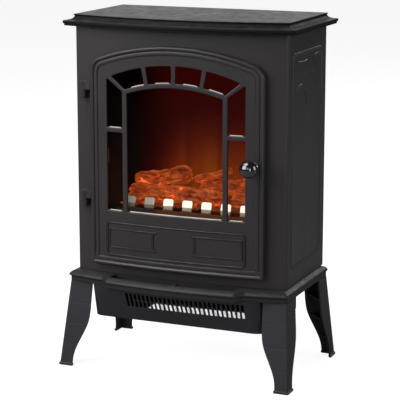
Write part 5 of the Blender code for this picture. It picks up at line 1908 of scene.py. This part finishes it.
@dataclass
class Fire:
    """The lit firebox: flame screen, coals, logs and the toothed grate in front of them."""

    finishes: Finishes
    teeth: int = 7
    tooth_width: float = 0.0164
    tooth_pitch: float = 0.032
    strip_height: float = 0.007
    lean: float = 0.0040
    lean_from: float = 0.0085
    plate: float = 0.0016
    sides: int = 72
    ring_pitch: float = 0.0011
    logs: tuple[tuple[str, float], ...] = (
        ("left_back_log", 0.9),
        ("front_log", 1.0),
        ("right_back_log", 0.8),
        ("right_front_log", 1.0),
        ("top_branch", 1.1),
    )

    def build(self) -> None:
        """Builds the fire; each log has its name and how brightly its cracks glow."""
        low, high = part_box("flame_screen")
        screen = FlameScreen("flame_screen_light", low.z + 0.02, high.x)
        refined("flame_screen", screen, "screen", 0.0002)
        self.build_coals()
        self.build_grate()
        for number, (node, heat) in enumerate(self.logs):
            self.build_log(node, number, heat)

    def build_coals(self) -> None:
        """Builds the bed of coals as lumps, with the light between them stored on its points."""
        low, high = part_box("ember_bed")
        shape = Shape(Plane.UP)
        bm = shape.bm
        half = Vector(((high.x - low.x) / 2, (high.y - low.y) / 2))
        bmesh.ops.create_grid(bm, x_segments=170, y_segments=48, size=1.0)
        rim = [edge for edge in bm.edges if edge.is_boundary]
        skirt = bmesh.ops.extrude_edge_only(bm, edges=rim)["geom"]
        sunk = {item for item in skirt if isinstance(item, bmesh.types.BMVert)}
        glow = bm.verts.layers.float.new("glow")
        for vert in bm.verts:
            x, y = vert.co.x * half.x, vert.co.y * half.y
            share = (vert.co.y + 1) / 2
            near = noise.voronoi(Vector((x * 95, y * 82, 0.3)))[0]
            lump = math.sqrt(max(0.0, 1 - (near[0] / 0.75) ** 2))
            rough = noise.fractal(Vector((x * 260, y * 260, 1.7)), 0.6, 2.0, 4)
            gap = math.exp(-(((near[1] - near[0]) / 0.16) ** 2))
            swell = noise.noise(Vector((x * 24, y * 24, 5.1)))
            bed = low.z + 0.0078 + 0.0044 * share
            top = bed + 0.0052 * lump * (0.75 + 0.4 * swell) + 0.0007 * rough
            vert[glow] = gap * (0.6 + 0.6 * swell) + 0.25 * (1 - lump)
            z = low.z if vert in sunk else min(top, high.z + 0.001)
            vert.co = Vector((x, y + (low.y + high.y) / 2, z))
        bmesh.ops.contextual_create(bm, geom=[edge for edge in bm.edges if edge.is_boundary])
        role = Role("casing", "embers", ("ember_bed",))
        shape.finish("glowing_coals", self.finishes.embers, role)

    def build_grate(self) -> None:
        """Builds the cream comb in front of the coals."""
        low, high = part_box("fire_grate")
        z, top, root = low.z, high.z, low.z + self.strip_height
        points: Outline = [(low.x, z), (high.x, z), (high.x, root)]
        for i in reversed(range(self.teeth)):
            x = (i - (self.teeth - 1) / 2) * self.tooth_pitch
            left, right = x - self.tooth_width / 2, x + self.tooth_width / 2
            waist = z + 0.012
            tooth = rounded([(right, waist), (right, top), (left, top), (left, waist)], 0.0028, 4)
            crown = [point for point in tooth if point[1] > waist + 0.0005]
            points += [(right, root), *crown, (left, root)]
        points.append((low.x, root))
        shape = Shape(Plane.FRONT)
        shape.plate(points, -self.plate, 0.0)
        shape.stations([z + self.lean_from, z + 0.010, z + 0.0115, z + 0.0135], (0, 0, 1))

        def leaned(p: Vector) -> Vector:
            """Returns a point of the flat comb, leant back above its strip."""
            share = max(p.z - z - self.lean_from, 0.0) / (top - z - self.lean_from)
            return Vector((p.x, p.y + low.y + self.lean * share, p.z))

        shape.move(leaned)
        enamel = Enamel("cream_enamel", z, top)
        shape.finish("cream_grate", enamel, Role("casing", "grate", ("fire_grate",)))

    def ends(self, node: str) -> tuple[Vector, Vector, float, float]:
        """Reads a log's axis from its solid.

        Args:
            node: the log's solid.

        Returns:
            The left end and the right end, and the radius at each.
        """
        solid = frame["nodes"][node].data
        spots = {tuple(round(c, 6) for c in vert.co) for vert in solid.vertices}
        middle = sum(spot[0] for spot in spots) / len(spots)
        found = []
        for side in (-1, 1):
            ring = [Vector(spot) for spot in spots if (spot[0] - middle) * side > 0]
            centre = sum(ring, Vector()) / len(ring)
            found.append((centre, max((spot - centre).length for spot in ring)))
        return found[0][0], found[1][0], found[0][1], found[1][1]

    def build_log(self, node: str, number: int, heat: float) -> None:
        """Builds one log with bark plates, cracks that glow, a painted glow on its underside, and
        broken ends.

        Args:
            node: the log's solid.
            number: picks its bark.
            heat: how brightly its cracks glow.
        """
        start, end, start_radius, end_radius = self.ends(node)
        length, along = (end - start).length, (end - start).normalized()
        side = along.cross(Vector((0, 0, 1))).normalized()
        up = side.cross(along)
        rings = max(int(length / self.ring_pitch), 24)
        seed = number * 7.3
        shape = Shape()
        facts: list[tuple[float, float]] = []

        def place(t: float, angle: float, share: float) -> Vector:
            """Finds a point of the bark, and notes how hot and how pale it is.

            Args:
                t: how far along the log it lies, from 0 to 1.
                angle: how far round the log.
                share: draws it in towards the axis, as on the ends.

            Returns:
                The point.
            """
            c, s = math.cos(angle), math.sin(angle)
            radius = start_radius + (end_radius - start_radius) * t
            spot = Vector((t * length * 34 + seed, c * 1.5, s * 1.5))
            plates = noise.fractal(Vector((spot.x * 1.9, c * 2.4, s * 2.4 + seed)), 0.6, 2.2, 5)
            swell = noise.noise(Vector((t * length * 30 + seed * 2, c * 0.9, s * 0.9)))
            line = noise.noise(Vector((spot.x * 0.95 + 3.1, c * 1.5 + seed, s * 1.5)))
            cross = noise.noise(Vector((spot.x * 1.9, c * 1.2, s * 1.2 + 9.0 + seed)))
            crack = max(math.exp(-((line / 0.045) ** 2)), 0.8 * math.exp(-((cross / 0.035) ** 2)))
            size = radius * (0.98 + 0.30 * swell + 0.14 * plates - 0.16 * crack)
            tip = min(t, 1 - t) * length / radius
            size *= min(1.0, 0.72 + 0.55 * min(tip, 0.5))
            torn = noise.fractal(Vector((c * 2.2, s * 2.2, seed + 4 * (t > 0.5))), 0.8, 2.0, 3)
            jag = torn * radius * 0.28
            slide = jag * (1 if t > 0.5 else -1) if tip < 0.35 else 0.0
            sag = Vector((0, 0, noise.noise(Vector((t * 2.3 + seed, 0.5, 0.5))) * radius * 0.22))
            flicker = 0.55 + 0.45 * noise.noise(Vector((t * length * 40, c, s + seed)))
            # The cracks' glow, plus a painted glow on the underside, as if lit by the coals below.
            hot = crack * heat * flicker + 0.30 * max(-s, 0.0) ** 2
            tone = 0.52 + 0.42 * plates - 0.25 * crack
            facts.append((min(max(hot, 0.0), 1.0), min(max(tone, 0.0), 1.0)))
            axis = start + along * (t * length + slide * share)
            return axis + (side * c + up * s) * size * share + sag

        turns = [math.tau * i / self.sides for i in range(self.sides)]
        shares = [0.25, 0.5, 0.72, 0.9]
        sections = [[place(0.0, a, share) for a in turns] for share in shares]
        sections += [[place(i / rings, a, 1.0) for a in turns] for i in range(rings + 1)]
        sections += [[place(1.0, a, share) for a in turns] for share in reversed(shares)]
        for end_ring in shape.sweep(sections):
            bmesh.ops.contextual_create(shape.bm, geom=shape.edges(end_ring))
        glow = shape.bm.verts.layers.float.new("glow")
        ridge = shape.bm.verts.layers.float.new("ridge")
        for vert, (hot, tone) in zip(shape.bm.verts, facts):
            vert[glow], vert[ridge] = hot, tone
        shape.finish(f"{node}_bark", self.finishes.log, Role("casing", "log", (node,)))


# ---------------------------------------------------------------- controls and works


@dataclass
class Controls:
    """The switches and the thermostat behind the door's lower panel."""

    finishes: Finishes
    ticks: int = 11
    first_turn: float = 225
    sweep: float = 270
    tick_start: float = 0.0178
    tick_end: float = 0.0200
    tick_growth: float = 0.0010
    tick_width: float = 0.0008

    def build(self) -> None:
        """Builds the controls."""
        refined("control_panel", self.finishes.body, "body", 0.0002)
        for number in (1, 2, 3):
            refined(f"switch_body_{number}", self.finishes.switch, "switch", 0.0003)
            refined(f"rocker_{number}", self.finishes.gloss, "gloss", 0.0003)
        refined("thermostat_dial", self.finishes.gloss, "gloss", 0.0003)
        refined("magnet_catch", self.finishes.switch, "switch", 0.0003)
        self.build_scale()

    def build_scale(self) -> None:
        """Builds the raised ticks round the dial, which grow longer as the heat rises."""
        low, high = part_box("thermostat_dial")
        centre = Vector(((low.x + high.x) / 2, 0, (low.z + high.z) / 2))
        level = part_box("switch_body_1")[0].y + 0.0018
        shape = Shape(Plane.FRONT)
        for i in range(self.ticks):
            share = i / (self.ticks - 1)
            turn = math.radians(self.first_turn - self.sweep * share)
            reach = self.tick_end + self.tick_growth * share
            c, s = math.cos(turn), math.sin(turn)
            path = [(centre.x + c * r, centre.z + s * r) for r in (self.tick_start, reach)]
            outline = strip(path, (self.tick_width, self.tick_width))
            shape.boss(outline, [(0.0, -level - 0.0002), (0.0, -level + 0.0002)])
        shape.finish("dial_ticks", self.finishes.ticks, Role("casing", "nylon"))


@dataclass
class Hinges:
    """The hinge seats and pins on the body."""

    finishes: Finishes

    def build(self) -> None:
        """Builds the fixed half of both hinges."""
        for level in ("upper", "lower"):
            refined(f"{level}_hinge_seat", self.finishes.door, "door", 0.0006)
            refined(f"{level}_hinge_pin", self.finishes.steel, "steel", 0.0002)


def dress_works(finishes: Finishes) -> None:
    """Gives every solid that is still shown its finish.

    Args:
        finishes: the stove's finishes.
    """
    slots = {part["node"]: part["material_slot"] for part in frame["record"]["subparts"]}
    for node, solid in frame["nodes"].items():
        if solid.hide_render:
            continue
        finish = getattr(finishes, slots[node])
        solid.data.materials.clear()
        solid.data.materials.append(finish.material())
        log.info("%s keeps its solid, in %s", node, finish.name)


# ---------------------------------------------------------------- studio


@dataclass(frozen=True)
class SoftBox:
    """A soft box: where it stands, its power, and its width and height."""

    name: str
    spot: tuple[float, float, float]
    power: float
    size: Point


@dataclass
class Studio:
    """A pale floor, soft light and the camera."""

    sky: float = 0.09
    floor_radius: float = 40
    floor_gap: float = 0.0003
    boxes: tuple[SoftBox, ...] = (
        SoftBox("overhead", (-0.7, -0.5, 2.4), 40, (1.6, 1.2)),
        SoftBox("key_box", (-1.3, -1.75, 1.5), 76, (2.2, 1.8)),
        SoftBox("fill_box", (0.7, -3.0, 1.5), 11, (1.6, 1.2)),
        SoftBox("corner_strip", (1.7, -1.75, 0.5), 15, (0.16, 1.5)),
        SoftBox("back_card", (-1.05, 2.4, 0.95), 4, (1.6, 0.9)),
        SoftBox("side_card", (2.4, 0.7, 0.9), 20, (1.2, 1.4)),
        SoftBox("rear_box", (0.6, 2.9, 1.9), 22, (1.2, 1.2)),
    )
    eye: tuple[float, float, float] = (0.9671, -2.2525, 0.787)
    pitch: float = 77.89
    heading: float = 23.11
    lens: float = 144.8

    def build(self) -> None:
        """Builds the studio."""
        self.build_floor()
        self.build_sky()
        for box in self.boxes:
            self.build_box(box)
        self.build_camera()

    def build_floor(self) -> None:
        """Builds a round floor, wide enough from every side."""
        shape = Shape(Plane.UP)
        bmesh.ops.create_circle(shape.bm, cap_ends=True, segments=96, radius=self.floor_radius)
        bmesh.ops.translate(shape.bm, vec=(0, 0, -self.floor_gap), verts=shape.bm.verts)
        mesh = bpy.data.meshes.new("studio_floor")
        shape.bm.to_mesh(mesh)
        shape.bm.free()
        floor = bpy.data.objects.new("studio_floor", mesh)
        bpy.context.scene.collection.objects.link(floor)
        mesh.materials.append(StudioFloor("studio_floor_pale").material())

    def build_sky(self) -> None:
        """Builds a dim sky that the camera sees as white."""
        world = bpy.data.worlds.new("studio_sky")
        world.use_nodes = True
        tree = world.node_tree
        sky = tree.nodes["Background"].inputs
        sky["Color"].default_value = (1, 1, 1, 1)
        seen = tree.nodes.new("ShaderNodeLightPath")
        level = tree.nodes.new("ShaderNodeMapRange")
        level.inputs["To Min"].default_value, level.inputs["To Max"].default_value = self.sky, 1.0
        tree.links.new(seen.outputs["Is Camera Ray"], level.inputs["Value"])
        tree.links.new(level.outputs["Result"], sky["Strength"])
        bpy.context.scene.world = world

    def build_box(self, box: SoftBox) -> None:
        """Builds a soft box that points at the stove and isn't seen itself.

        Args:
            box: the soft box.
        """
        data = bpy.data.lights.new(box.name, "AREA")
        data.energy, data.shape = box.power, "RECTANGLE"
        data.size, data.size_y = box.size
        lamp = bpy.data.objects.new(box.name, data)
        lamp.location = box.spot
        lamp.visible_camera = False
        lamp.rotation_euler = (STOVE_MIDDLE - Vector(box.spot)).to_track_quat("-Z", "Y").to_euler()
        bpy.context.scene.collection.objects.link(lamp)

    def build_camera(self) -> None:
        """Builds the camera."""
        data = bpy.data.cameras.new("camera")
        data.lens, data.sensor_width, data.clip_end = self.lens, 36, 200
        data.dof.use_dof = False
        camera = bpy.data.objects.new("camera", data)
        camera.location = self.eye
        camera.rotation_euler = (math.radians(self.pitch), 0, math.radians(self.heading))
        bpy.context.scene.collection.objects.link(camera)
        bpy.context.scene.camera = camera
        bpy.context.scene.view_settings.view_transform = "Standard"


def main() -> None:
    """Builds the stove and its studio."""
    logging.basicConfig(level=logging.INFO, format="%(name)s: %(message)s")
    finishes = Finishes()
    _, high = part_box("front_panel")
    bow = Bow(high.x, FRONT_BOW)
    front = high.y - SHEET
    Casing(finishes, bow, front).build()
    Legs(finishes).build()
    Door(finishes, bow, front).build()
    Hinges(finishes).build()
    Outlet(finishes).build()
    Fire(finishes).build()
    Controls(finishes).build()
    dress_works(finishes)
    Studio().build()
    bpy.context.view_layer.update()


if __name__ == "__main__":
    main()
